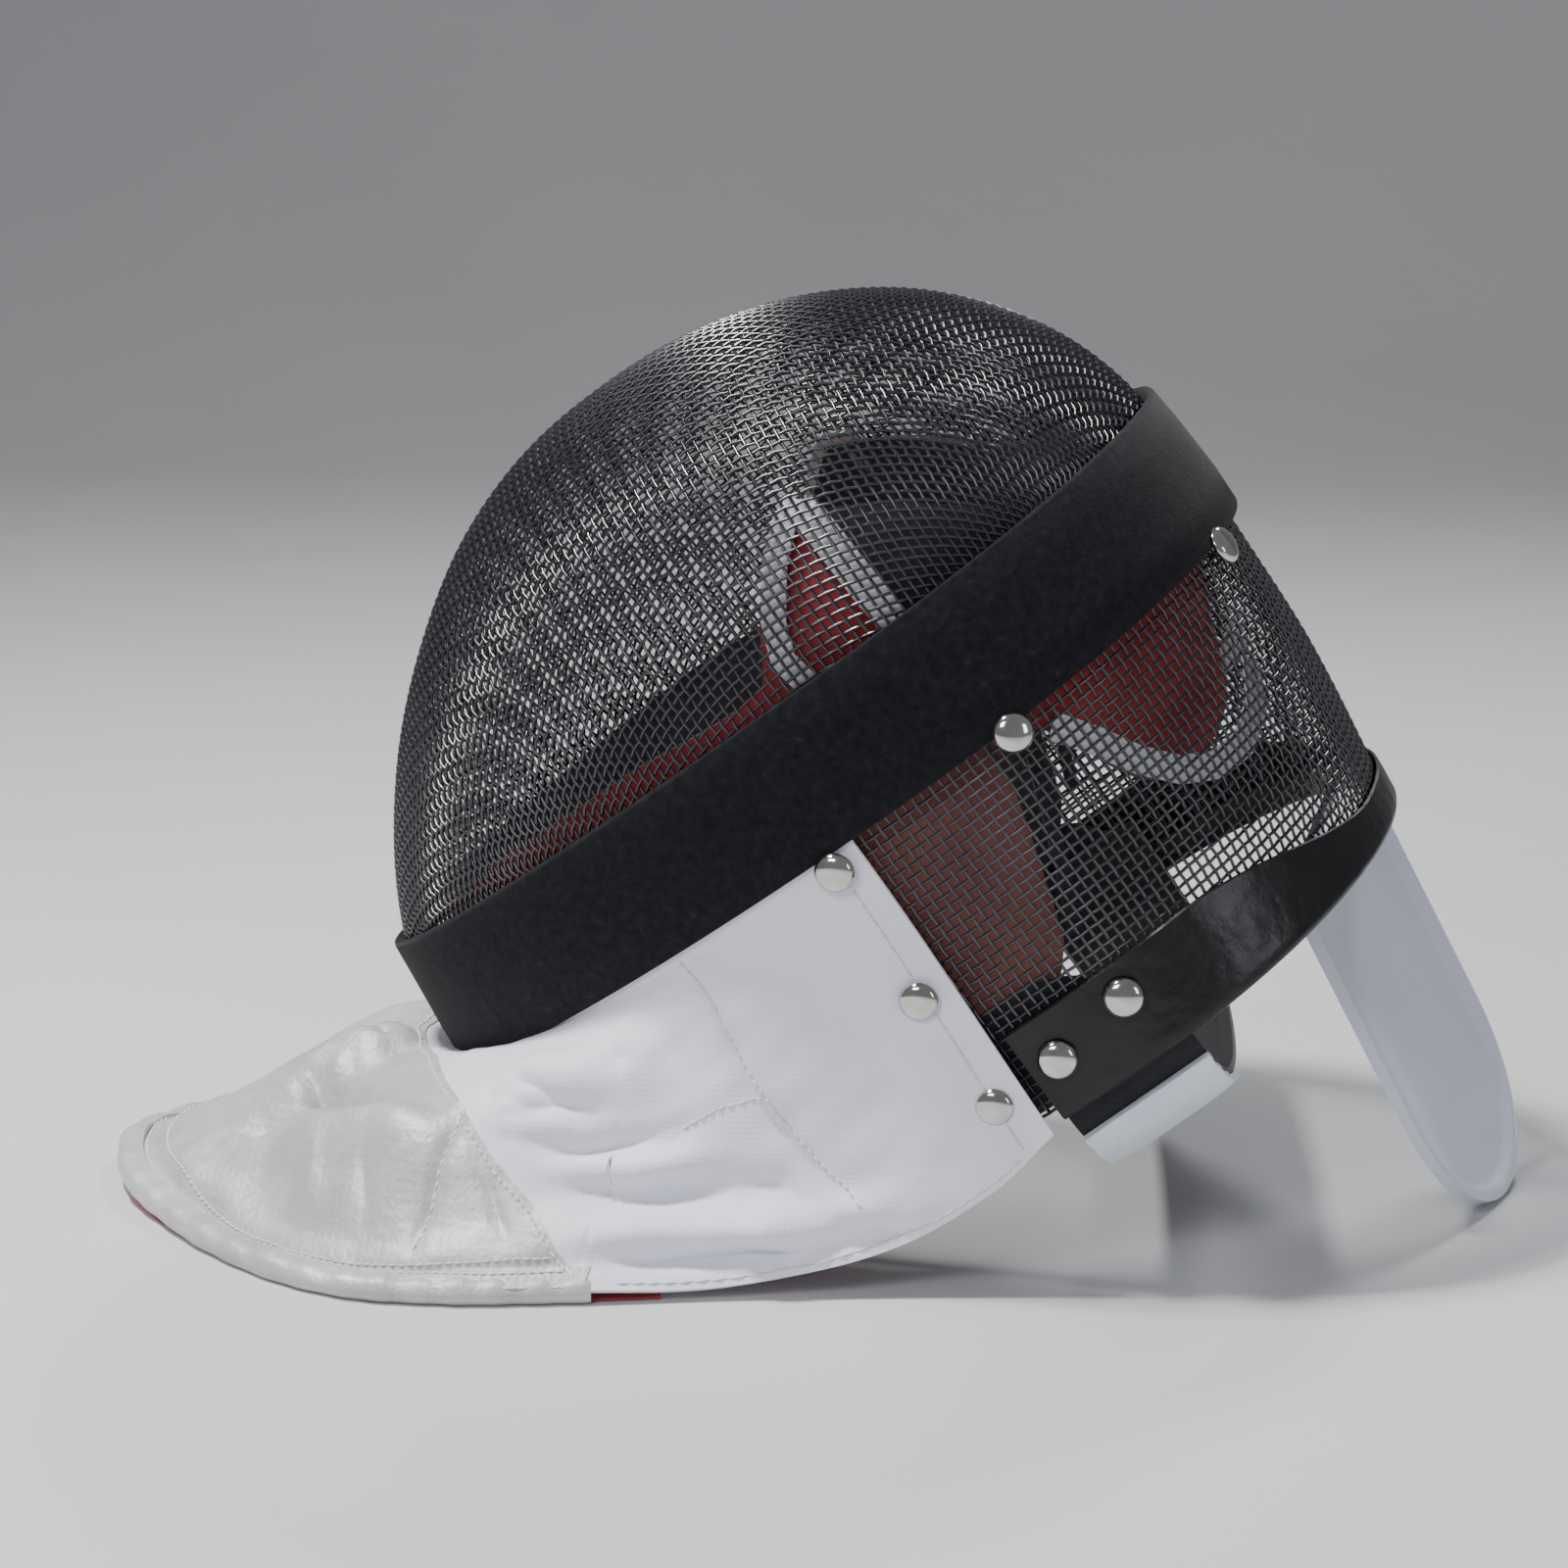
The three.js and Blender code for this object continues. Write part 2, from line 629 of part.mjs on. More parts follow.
// The bib's own outward direction, from its neighbours.
function bibNormal(share, down) {
  const step = 0.004;
  const [s, d] = [THREE.MathUtils.clamp(share, step, 1 - step), THREE.MathUtils.clamp(down, step, 1 - step)];
  const round = bibPoint(s + step, d, 0).sub(bibPoint(s - step, d, 0));
  const fall = bibPoint(s, d + step, 0).sub(bibPoint(s, d - step, 0));
  const normal = round.cross(fall).normalize();
  const centre = new THREE.Vector3(-40, 0, 0);
  const outward = bibPoint(s, d, 0).sub(centre);
  return normal.dot(outward) < 0 ? normal.negate() : normal;
}

// A layer of the bib between two shares down, both functions of the share round it.
function bibLayer(name, from, to, steps, rows, top, bottom, level, thickness, look) {
  const face = (offset) => (i, j) => {
    const share = THREE.MathUtils.lerp(from, to, i);
    const down = THREE.MathUtils.lerp(top(share), bottom(share), j);
    return bibPoint(share, down, clothOutset).addScaledVector(bibNormal(share, down), offset);
  };
  return named(name, sheetSolid(steps, rows, face(level + thickness), face(level)), look);
}

const hemStart = 0.2;        // share where the silver hem starts
const hemWidth = 8;
const hemHeight = 5;
const seamAt = (share) => tableValue(bibSeam, 'share', 'down', share);
const inFront = (share) => share > hemStart && share < 1 - hemStart;
const hemClear = 0.915;      // share down at which the silver meets its hem

function bibCloth() {
  const bottom = (share) => (inFront(share) ? Math.min(seamAt(share), hemClear - 0.01) : 1) - 0.012;
  return bibLayer('bib_cloth', 0, 1, 60, 8, () => 0, bottom, 0, clothThickness, whiteCloth());
}

function bibLame() {
  const inset = 0.0167;
  const top = (share) => Math.min(seamAt(share), hemClear - 0.01);
  return bibLayer('bib_lame', hemStart + inset, 1 - hemStart - inset, 44, 7,
    top, () => hemClear, 0, clothThickness, silverCloth());
}

function bibLining() {
  const liningThickness = 1;
  const liningClear = 1.6;
  return bibLayer('bib_lining', 0.05, 0.95, 54, 5, () => 0.3, () => 0.9,
    -liningThickness - liningClear, liningThickness, redCloth());
}

// A rolled edge with a flat underside, along the silver part of the lower edge.
function bibHemRoll() {
  const sectionAt = (share) => {
    const place = THREE.MathUtils.lerp(hemStart + 0.012, 0.988 - hemStart, share);
    const centre = bibPoint(place, 1, clothOutset);
    const step = 0.004;
    const tangent = bibPoint(place + step, 1, 0).sub(bibPoint(place - step, 1, 0)).setZ(0).normalize();
    const outward = new THREE.Vector3(tangent.y, -tangent.x, 0);
    if (outward.dot(new THREE.Vector3(centre.x + 40, centre.y, 0)) < 0) outward.negate();
    const base = centre.z - 3;
    return [
      [-0.5, 0], [0.3, 0], [0.46, 0.25], [0.5, 0.5], [0.42, 0.8], [0.25, 1], [-0.25, 1], [-0.5, 0.85],
    ].map(([wide, high]) => centre.clone()
      .addScaledVector(outward, (wide - 0.4) * hemWidth)
      .setZ(base + high * hemHeight));
  };
  return named('bib_hem', sweptSolid(60, sectionAt), silverCloth());
}

// ---------------------------------------------------------------- assembly

const wearer = new THREE.Group();
wearer.applyMatrix4(lying);
wearer.add(faceMesh(), backMesh(), seamBand(), rimTrim());
wearer.add(padSolid('cheek_pad', 80.6, 279.4, 44));
wearer.add(padSolid('forehead_pad', -79.8, 79.8, 34));
wearer.add(strapStrip('strap', 0, 1, 36, strapWidth, -strapThickness / 2, strapThickness, blackElastic()));
wearer.add(strapStrip('strap_pad', 0.115, 0.235, 6, 42, strapThickness / 2 + gap, 3, whiteCloth()));
wearer.add(tongue(), tongueBracket(), ...rivets());

const mask = new THREE.Group();
mask.add(wearer, bibCloth(), bibLame(), bibLining(), bibHemRoll());

// The tongue's tip touches the floor.
mask.updateMatrixWorld(true);
const tonguePiece = wearer.getObjectByName('tongue');
const overFloor = new THREE.Box3().setFromObject(tonguePiece, true).min.z;
tonguePiece.position.set(-overFloor * Math.sin(tilt), 0, -overFloor * Math.cos(tilt));

// The origin is under the middle of the whole mask, on the floor.
mask.updateMatrixWorld(true);
const box = new THREE.Box3().setFromObject(mask, true);
mask.position.set(-(box.min.x + box.max.x) / 2, -(box.min.y + box.max.y) / 2, -box.min.z);
mask.updateMatrixWorld(true);

export default mask;
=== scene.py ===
import math

import bmesh
import bpy
import numpy as np
from mathutils import Matrix, Vector

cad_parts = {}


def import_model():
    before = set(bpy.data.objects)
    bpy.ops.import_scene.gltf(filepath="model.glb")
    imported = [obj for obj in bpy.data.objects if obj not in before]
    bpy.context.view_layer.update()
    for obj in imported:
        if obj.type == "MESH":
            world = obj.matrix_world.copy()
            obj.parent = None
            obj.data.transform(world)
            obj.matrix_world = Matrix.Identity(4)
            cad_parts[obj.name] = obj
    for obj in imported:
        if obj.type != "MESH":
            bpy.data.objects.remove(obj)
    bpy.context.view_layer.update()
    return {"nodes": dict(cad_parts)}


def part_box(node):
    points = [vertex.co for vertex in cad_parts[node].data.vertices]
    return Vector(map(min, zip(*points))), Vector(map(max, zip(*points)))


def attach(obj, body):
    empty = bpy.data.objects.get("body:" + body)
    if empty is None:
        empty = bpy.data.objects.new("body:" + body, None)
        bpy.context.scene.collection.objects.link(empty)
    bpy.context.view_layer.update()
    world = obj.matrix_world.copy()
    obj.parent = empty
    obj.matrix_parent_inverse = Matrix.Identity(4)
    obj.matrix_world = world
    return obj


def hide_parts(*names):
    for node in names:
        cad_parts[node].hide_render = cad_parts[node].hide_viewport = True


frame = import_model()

# A foil fencing mask on a pale floor. Lengths in the tables and functions are millimetres in the
# wearer's frame of the CAD model: x from chin to crown, y to the wearer's right, z out of the face.
SHIFT = (-10.196, 3.776, 0.073)          # of the finished model over the chin's place
CHIN = (-122.5, 0.0, 69.7)
TILT = math.radians(36.7)
WIDEST = 182.0                   # x of the widest station
HALF = 104.0                     # half width there
BIB_EDGE = 99.2                  # degrees from the crown to the bib's rear edge
CROWN_POWER, CHIN_POWER = 2.05, 1.8      # of the shell's rounded outline at either end

FACE_REACH = ((0, 101.0), (15, 97.8), (30, 94.6), (45, 92.3), (60, 91.1), (75, 91.7), (90, 94.4),
              (105, 99.8), (120, 109.0), (135, 120.2), (150, 133.4), (165, 151.5), (180, 173.5))
# depth behind the band's front edge, crown reach, chin reach, half width
SECTIONS = ((-20, 101.0, 173.5, 104.0), (0, 101.0, 173.5, 104.0), (25, 102.4, 177.0, 104.6),
            (50, 101.6, 179.8, 105.0), (90, 99.2, 183.5, 105.0), (145, 90.5, 187.0, 103.0))


def table(rows, column, key):
    """A smooth value between the rows of a table, by its first column."""
    last = len(rows) - 1
    k = min(max(key, rows[0][0]), rows[last][0])
    i = 0
    while i < last - 1 and rows[i + 1][0] < k:
        i += 1

    def slope(n):
        a, b = rows[max(n - 1, 0)], rows[min(n + 1, last)]
        return (b[column] - a[column]) / (b[0] - a[0])
    a, b = rows[i], rows[i + 1]
    span = b[0] - a[0]
    t = (k - a[0]) / span
    return (a[column] + (b[column] - a[column]) * t * t * (3 - 2 * t)
            + t * (1 - t) ** 2 * span * slope(i) - t * t * (1 - t) * span * slope(i + 1))


def clamp(v, low=0.0, high=1.0):
    return min(max(v, low), high)


def mix(a, b, t):
    return a + (b - a) * t


def smooth(v, low, high):
    t = clamp((v - low) / (high - low))
    return t * t * (3 - 2 * t)


# -------- places

LYING = (Matrix.Translation(Vector([(CHIN[k] + SHIFT[k]) for k in range(3)]))
         @ Matrix.Rotation(-TILT, 4, "Y"))


def world(point):
    """From the wearer's frame, in mm, to the row frame, in metres."""
    return LYING @ Vector(point) * 0.001


def turned(direction):
    return (LYING.to_3x3() @ Vector(direction)).normalized()


def shell(angle, z, inset=0.0):
    """A point of the shell at or behind the band plane: angle 0 is the crown, 90 the near side."""
    c, s = math.cos(math.radians(angle)), math.sin(math.radians(angle))
    power = CROWN_POWER if c > 0 else CHIN_POWER
    reach = table(SECTIONS, 1 if c > 0 else 2, -z) - inset
    half = table(SECTIONS, 3, -z) - inset
    k = (abs(c) ** power + abs(s) ** power) ** (-1 / power)
    return Vector((WIDEST + reach * c * k, -half * s * k, z))


def shell_out(angle, z=-40.0):
    t = shell(angle + 1, z) - shell(angle - 1, z)
    return Vector((-t.y, t.x, 0)).normalized()


def dome_scale(direction, inset=0.0):
    """The dome's point in a direction from the widest station, in front of the band plane."""
    d = Vector(direction)
    along = d.x if abs(d.x) > 1e-6 else 1e-6
    turn = math.atan2(d.z, along)
    power = mix(CROWN_POWER, CHIN_POWER, turn / math.pi)
    reach = table(FACE_REACH, 1, math.degrees(turn)) - inset
    f = (math.hypot(d.x, d.z) / reach) ** power + (abs(d.y) / (HALF - inset)) ** power
    return f ** (-1 / power)


def dome_at(p, inset=0.0):
    """The skin's point nearest along the ray from the widest station to p; a wall below z = 0."""
    d = Vector((p[0] - WIDEST, p[1], p[2]))
    if d.z >= 0:
        return Vector((WIDEST, 0, 0)) + d * dome_scale(d, inset)
    angle = math.degrees(math.atan2(-d.y, d.x))
    c = math.cos(math.radians(angle))
    power = CROWN_POWER if c > 0 else CHIN_POWER
    reach = table(SECTIONS, 1 if c > 0 else 2, -d.z) - inset
    half = table(SECTIONS, 3, -d.z) - inset
    k = ((abs(d.x) / reach) ** power + (abs(d.y) / half) ** power) ** (-1 / power)
    return Vector((WIDEST + d.x * k, d.y * k, d.z))


def dome_normal(p):
    """The skin's outward normal at p, from its slopes both ways."""
    e = 0.6
    base = dome_at(p)
    ref = Vector((0.3, 0, 1)).normalized() if abs(base.y) > 50 else Vector((1, 0, 0))
    out = (base - Vector((WIDEST, 0, -20))).normalized()
    u = out.cross(ref).normalized()
    v = out.cross(u).normalized()
    n = (dome_at(base + u * e) - dome_at(base - u * e)).cross(dome_at(base + v * e) - dome_at(base - v * e))
    n.normalize()
    return n if n.dot(out) > 0 else -n


# -------- node materials

def new_material(name):
    m = bpy.data.materials.new(name)
    m.use_nodes = True
    tree = m.node_tree
    return m, tree, tree.nodes["Principled BSDF"]


def node(tree, kind, **values):
    n = tree.nodes.new(kind)
    for key, value in values.items():
        if key in n.inputs:
            n.inputs[key].default_value = value
        else:
            setattr(n, key, value)
    return n


def coordinates(tree, scale=(1, 1, 1)):
    where = node(tree, "ShaderNodeTexCoord")
    mapping = node(tree, "ShaderNodeMapping")
    mapping.inputs["Scale"].default_value = scale
    tree.links.new(where.outputs["Object"], mapping.inputs["Vector"])
    return mapping.outputs["Vector"]


def ramp(tree, value, stops):
    r = node(tree, "ShaderNodeValToRGB")
    r.color_ramp.elements[0].position, r.color_ramp.elements[0].color = stops[0][0], (*stops[0][1], 1)
    r.color_ramp.elements[1].position, r.color_ramp.elements[1].color = stops[-1][0], (*stops[-1][1], 1)
    for place, colour in stops[1:-1]:
        r.color_ramp.elements.new(place).color = (*colour, 1)
    tree.links.new(value, r.inputs["Fac"])
    return r.outputs["Color"]


def noise(tree, vector, scale, detail=4.0, rough=0.55):
    n = node(tree, "ShaderNodeTexNoise", Scale=scale, Detail=detail, Roughness=rough)
    tree.links.new(vector, n.inputs["Vector"])
    return n.outputs["Fac"]


def weave(tree, vector, pitch):
    """A fine over-and-under height from two crossed waves, in metres of pitch."""
    heights = []
    for direction in ("X", "Z"):
        w = node(tree, "ShaderNodeTexWave", Scale=0.314 / pitch / 2, Distortion=0.4)
        w.bands_direction = direction
        w.inputs["Detail Scale"].default_value = 1.5
        tree.links.new(vector, w.inputs["Vector"])
        heights.append(w.outputs["Fac"])
    m = node(tree, "ShaderNodeMath", operation="MAXIMUM")
    tree.links.new(heights[0], m.inputs[0])
    tree.links.new(heights[1], m.inputs[1])
    return m.outputs[0]


def bump(tree, shader, layers):
    """Stacked bumps: (height socket, strength, distance in metres)."""
    previous = None
    for height, strength, distance in layers:
        b = node(tree, "ShaderNodeBump", Strength=strength, Distance=distance)
        tree.links.new(height, b.inputs["Height"])
        if previous:
            tree.links.new(previous, b.inputs["Normal"])
        previous = b.outputs["Normal"]
    tree.links.new(previous, shader.inputs["Normal"])


def surface(name, stops, rough, metal=0.0, spread=30.0, layers=(), weave_pitch=None, sheen=0.0,
            coat=0.0, level=0.5, rough_span=0.08, grid_pitch=None):
    """A procedural finish: colour between the stops by noise, uneven roughness, stacked bumps."""
    m, tree, shader = new_material(name)
    where = coordinates(tree)
    tree.links.new(ramp(tree, noise(tree, where, spread), stops), shader.inputs["Base Color"])
    span = node(tree, "ShaderNodeMapRange")
    span.inputs["To Min"].default_value = rough - rough_span
    span.inputs["To Max"].default_value = rough + rough_span
    tree.links.new(noise(tree, where, spread * 3), span.inputs["Value"])
    tree.links.new(span.outputs["Result"], shader.inputs["Roughness"])
    shader.inputs["Metallic"].default_value = metal
    shader.inputs["Sheen Weight"].default_value = sheen
    shader.inputs["Coat Weight"].default_value = coat
    shader.inputs["Specular IOR Level"].default_value = level
    stack = [(noise(tree, where, scale, detail), strength, distance)
             for scale, detail, strength, distance in layers]
    if weave_pitch:
        stack.append((weave(tree, where, weave_pitch), 0.35, 0.00015))
    if grid_pitch:
        stack.append((weave(tree, where, grid_pitch), 0.12, 0.0004))
    if stack:
        bump(tree, shader, stack)
    return m


WIRE = surface("wire", [(0.3, (0.010, 0.010, 0.013)), (0.7, (0.022, 0.022, 0.027))], 0.2, 0.0,
               60, [(900, 2, 0.12, 0.0001)], coat=0.0, level=0.9, rough_span=0.06)
SUEDE = surface("suede", [(0.35, (0.004, 0.004, 0.006)), (0.66, (0.010, 0.011, 0.014)),
                          (0.76, (0.022, 0.023, 0.027))], 0.92, 0.0, 420,
                [(1500, 6, 0.7, 0.0003), (60, 3, 0.3, 0.001)], sheen=0.06, level=0.2)
TRIM = surface("trim", [(0.3, (0.004, 0.004, 0.005)), (0.7, (0.010, 0.010, 0.012))], 0.34, 0.0, 50,
               [(120, 4, 0.4, 0.0012), (30, 3, 0.4, 0.003)], level=0.4)
CHROME = surface("chrome", [(0.3, (0.52, 0.52, 0.49)), (0.7, (0.64, 0.64, 0.61))], 0.11, 1.0, 200,
                 [(300, 3, 0.05, 0.0003)])
STEEL = surface("steel", [(0.3, (0.4, 0.41, 0.43)), (0.7, (0.55, 0.56, 0.58))], 0.35, 1.0, 200)
CLOTH = surface("white_cloth", [(0.25, (0.76, 0.76, 0.86)), (0.75, (0.84, 0.84, 0.92))], 0.6, 0.0, 14,
                [(26, 2, 0.15, 0.003), (150, 3, 0.15, 0.0005)], weave_pitch=0.0007, sheen=0.15)
LAME = surface("silver_cloth", [(0.3, (0.44, 0.44, 0.43)), (0.7, (0.58, 0.58, 0.57))], 0.56, 0.3, 40,
               [(60, 4, 0.4, 0.0025), (300, 4, 0.5, 0.0009)], weave_pitch=0.0012, sheen=0.2,
               grid_pitch=0.0045)
RED = surface("red_padding", [(0.3, (0.30, 0.008, 0.014)), (0.7, (0.47, 0.018, 0.026))], 0.6, 0.0, 30,
              [(50, 3, 0.4, 0.003)], weave_pitch=0.0008, sheen=0.4)
LINING = surface("red_lining", [(0.3, (0.36, 0.008, 0.014)), (0.7, (0.55, 0.02, 0.03))], 0.55, 0.0, 30,
                 [(50, 3, 0.4, 0.003)], weave_pitch=0.0008, sheen=0.3)
# Near-black velour: the cheek binding's and the dark ribbon's own colour; on the pads it is painted shade.
VELOUR_AND_SHADE = surface("dark_velour_and_shade", [(0.3, (0.012, 0.012, 0.016)), (0.7, (0.028, 0.028, 0.034))], 0.9, 0.0, 60,
                 [(400, 4, 0.4, 0.0006)], sheen=0.3)
PINK = surface("faded_padding", [(0.3, (0.26, 0.075, 0.065)), (0.7, (0.38, 0.12, 0.10))], 0.7, 0.0, 30,
               [(50, 3, 0.4, 0.003)], weave_pitch=0.0008, sheen=0.3)
RIBBON = surface("white_ribbon", [(0.3, (0.72, 0.73, 0.76)), (0.7, (0.86, 0.87, 0.9))], 0.6, 0.0, 60,
                 [(160, 3, 0.3, 0.0008)], weave_pitch=0.0008)
PLASTIC = surface("white_plastic", [(0.3, (0.68, 0.73, 0.83)), (0.7, (0.75, 0.79, 0.88))], 0.2, 0.0, 18,
                  [(70, 3, 0.06, 0.0008)], level=0.6)
ELASTIC = surface("elastic", [(0.3, (0.006, 0.006, 0.008)), (0.7, (0.016, 0.016, 0.019))], 0.85, 0.0, 60,
                  [(300, 3, 0.3, 0.0005)], weave_pitch=0.0011, sheen=0.2)
FLEECE = surface("strap_patch", [(0.25, (0.62, 0.70, 0.80)), (0.75, (0.78, 0.84, 0.92))], 0.8, 0.0, 60,
                 [(240, 5, 0.6, 0.0012), (50, 3, 0.4, 0.002)], sheen=0.5)
THREAD = surface("thread", [(0.3, (0.62, 0.62, 0.72)), (0.7, (0.72, 0.72, 0.82))], 0.7, 0.0, 300)
THREAD_SILVER = surface("thread_silver", [(0.3, (0.62, 0.61, 0.6)), (0.7, (0.8, 0.79, 0.78))], 0.6, 0.0,
                        300)


# -------- meshes

def finished(name, vertices, faces, material, slot, stands_for=()):
    """A smooth mesh that rides on the root and hides the CAD nodes it stands for; its slot is not used."""
    mesh = bpy.data.meshes.new(name)
    mesh.from_pydata([tuple(v) for v in vertices], [], faces)
    mesh.validate()
    mesh.update()
    mesh.polygons.foreach_set("use_smooth", [True] * len(mesh.polygons))
    o = bpy.data.objects.new(name, mesh)
    bpy.context.scene.collection.objects.link(o)
    o.data.materials.append(material)
    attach(o, "root")
    if stands_for:
        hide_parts(*stands_for)
    return o


def sheet_mesh(nu, nv, outside, inside):
    """Vertices and faces of a closed sheet between two functions of two shares from 0 to 1."""
    columns = nu + 1
    vertices = [side(i / nu, j / nv) for side in (outside, inside)
                for j in range(nv + 1) for i in range(columns)]

    def at(side, i, j):
        return (side * (nv + 1) + j) * columns + i
    faces = []
    for i in range(nu):
        for j in range(nv):
            faces.append((at(0, i, j), at(0, i + 1, j), at(0, i + 1, j + 1), at(0, i, j + 1)))
            faces.append((at(1, i, j), at(1, i, j + 1), at(1, i + 1, j + 1), at(1, i + 1, j)))
        faces.append((at(0, i + 1, 0), at(0, i, 0), at(1, i, 0), at(1, i + 1, 0)))
        faces.append((at(0, i, nv), at(0, i + 1, nv), at(1, i + 1, nv), at(1, i, nv)))
    for j in range(nv):
        faces.append((at(0, 0, j), at(0, 0, j + 1), at(1, 0, j + 1), at(1, 0, j)))
        faces.append((at(0, nu, j + 1), at(0, nu, j), at(1, nu, j), at(1, nu, j + 1)))
    return vertices, faces


def swept_mesh(steps, section_at, wrapped=False):
    """A tube of one section all the way round or along, with flat ends when it is open."""
    count = steps if wrapped else steps + 1
    sections = [section_at(i / steps) for i in range(count)]
    size = len(sections[0])
    faces = []
    for i in range(steps):
        n = (i + 1) % count
        for k in range(size):
            m = (k + 1) % size
            faces.append((i * size + k, i * size + m, n * size + m, n * size + k))
    if not wrapped:
        faces.append(tuple(range(size - 1, -1, -1)))
        faces.append(tuple((count - 1) * size + k for k in range(size)))
    return [v for s in sections for v in s], faces


def outwards(o):
    """Turns the faces out and marks sharp edges to shade flat across them."""
    b = bmesh.new()
    b.from_mesh(o.data)
    bmesh.ops.recalc_face_normals(b, faces=b.faces)
    b.to_mesh(o.data)
    b.free()
    o.data.set_sharp_from_angle(angle=math.radians(42))
    return o


def tubes(name, lines, radius, sides, material, slot, stands_for=()):
    """One mesh of thin round wires; each line is a list of (point, side direction) in metres."""
    vertices, faces = [], []
    ring = [(math.cos(2 * math.pi * k / sides), math.sin(2 * math.pi * k / sides)) for k in range(sides)]
    cosines = np.array([c for c, _ in ring])[None, :, None]
    sines = np.array([s for _, s in ring])[None, :, None]
    for line in lines:
        points = np.array([tuple(p) for p, _ in line])
        normals = np.array([tuple(n) for _, n in line])
        tangents = np.gradient(points, axis=0)
        tangents /= np.linalg.norm(tangents, axis=1)[:, None] + 1e-12
        across = np.cross(tangents, normals)
        across /= np.linalg.norm(across, axis=1)[:, None] + 1e-12
        up = np.cross(across, tangents)
        start = len(vertices)
        count = len(points)
        rings = (points[:, None, :] + radius * (cosines * across[:, None, :])
                 + radius * sines * up[:, None, :])
        vertices.extend(map(tuple, rings.reshape(-1, 3)))
        for i in range(count - 1):
            a = start + i * sides
            for k in range(sides):
                m = (k + 1) % sides
                faces.append((a + k, a + m, a + sides + m, a + sides + k))
        faces.append(tuple(start + k for k in range(sides - 1, -1, -1)))
        faces.append(tuple(start + (count - 1) * sides + k for k in range(sides)))
    return finished(name, vertices, faces, material, slot, stands_for)


# -------- the woven mesh

PITCH = 3.05
WIRE_RADIUS = 0.5
RISE = 0.42                      # of a wire over the middle of the weave
SETTLE = 0.32                    # share of a cell's stretch taken back on each pass


def spaced(curve, pitch, count):
    """Points along a function of an angle, a pitch apart, from its start."""
    dense = [curve(k * 0.25) for k in range(count)]
    out, walked = [dense[0]], 0.0
    for a, b in zip(dense, dense[1:]):
        step = (b - a).length
        while walked + step >= pitch:
            t = (pitch - walked) / step
            a = a.lerp(b, t)
            out.append(a)
            step = (b - a).length
            walked = 0.0
        walked += step
    return out


def net_quadrant(along, aside):
    """Fills a square net between a row along the sagittal line and a column over the side."""
    rows, columns = len(along), len(aside)
    grid = [[None] * columns for _ in range(rows)]
    for i in range(rows):
        grid[i][0] = along[i]
    for j in range(columns):
        grid[0][j] = aside[j]
    for i in range(1, rows):
        for j in range(1, columns):
            a, b, c = grid[i - 1][j], grid[i][j - 1], grid[i - 1][j - 1]
            if a is None or b is None or c is None:
                continue
            if a.z < -30 or b.z < -30:
                continue
            p = dome_at(a + b - c)
            for _ in range(3):
                da, db = p - a, p - b
                p = (p - da * (SETTLE * (1 - PITCH / max(da.length, 1e-6)))
                     - db * (SETTLE * (1 - PITCH / max(db.length, 1e-6))))
                p = dome_at(p)
            if (p - a).length > 2.2 * PITCH or p.z < -40:
                continue
            grid[i][j] = p
    return grid


def face_net():
    """{(i, j): point} of the crossings: i along chin to crown, j from side to side."""
    def sagittal(sign):
        return lambda a: dome_at((WIDEST + sign * 100 * math.sin(math.radians(a)), 0,
                                  100 * math.cos(math.radians(a)))) if a <= 90 else \
            dome_at((WIDEST + sign * 100, 0, -(a - 90) * 1.5))

    def lateral(a):
        return dome_at((WIDEST, -100 * math.sin(math.radians(a)), 100 * math.cos(math.radians(a)))) \
            if a <= 90 else dome_at((WIDEST, -100, -(a - 90) * 1.5))
    crown, chin = spaced(sagittal(1), PITCH, 420), spaced(sagittal(-1), PITCH, 420)
    near = spaced(lateral, PITCH, 420)
    net = {}
    for sign, row in ((1, crown), (-1, chin)):
        quadrant = net_quadrant(row, near)
        for i, line in enumerate(quadrant):
            for j, p in enumerate(line):
                if p is None:
                    continue
                net[(sign * i, -j)] = p
                net[(sign * i, j)] = Vector((p.x, -p.y, p.z))
    return net


def wires_of(net, normal_at, keep, family):
    """Lines of one family through a net, each riding over and under the other."""
    keys = {}
    for i, j in net:
        a, b = (j, i) if family == 0 else (i, j)
        keys.setdefault(a, []).append(b)
    lines = []
    for a, bs in keys.items():
        run, last = [], None
        for b in sorted(bs):
            key = (b, a) if family == 0 else (a, b)
            p = net[key]
            if not keep(p) or (last is not None and b != last + 1):
                if len(run) > 2:
                    lines.append(run)
                run = []
            if keep(p):
                n = normal_at(key)
                sign = 1 if (a + b + family) % 2 else -1
                run.append((world(p - n * (1.0 - sign * RISE)), turned(n)))
                last = b
            else:
                last = None
        if len(run) > 2:
            lines.append(run)
    return lines


FACE_NET = face_net()
FACE_NORMALS = {key: dome_normal(p) for key, p in FACE_NET.items()}
for family, name in ((0, "face_wires_long"), (1, "face_wires_cross")):
    tubes(name, wires_of(FACE_NET, FACE_NORMALS.get, lambda p: p.z > -9, family), WIRE_RADIUS * 0.001, 5,
          WIRE, "black_wire", ("face_mesh",) if family == 0 else ())


def loop_angles(z, limit, pitch):
    """Angles round the shell a pitch apart, both ways from the crown."""
    angles, walked, angle = [0.0], 0.0, 0.0
    last = shell(0, z)
    while angle < limit:
        angle += 0.1
        here = shell(angle, z)
        walked += (here - last).length
        last = here
        if walked >= pitch:
            angles.append(angle)
            walked -= pitch
    return [-a for a in reversed(angles[1:])] + angles


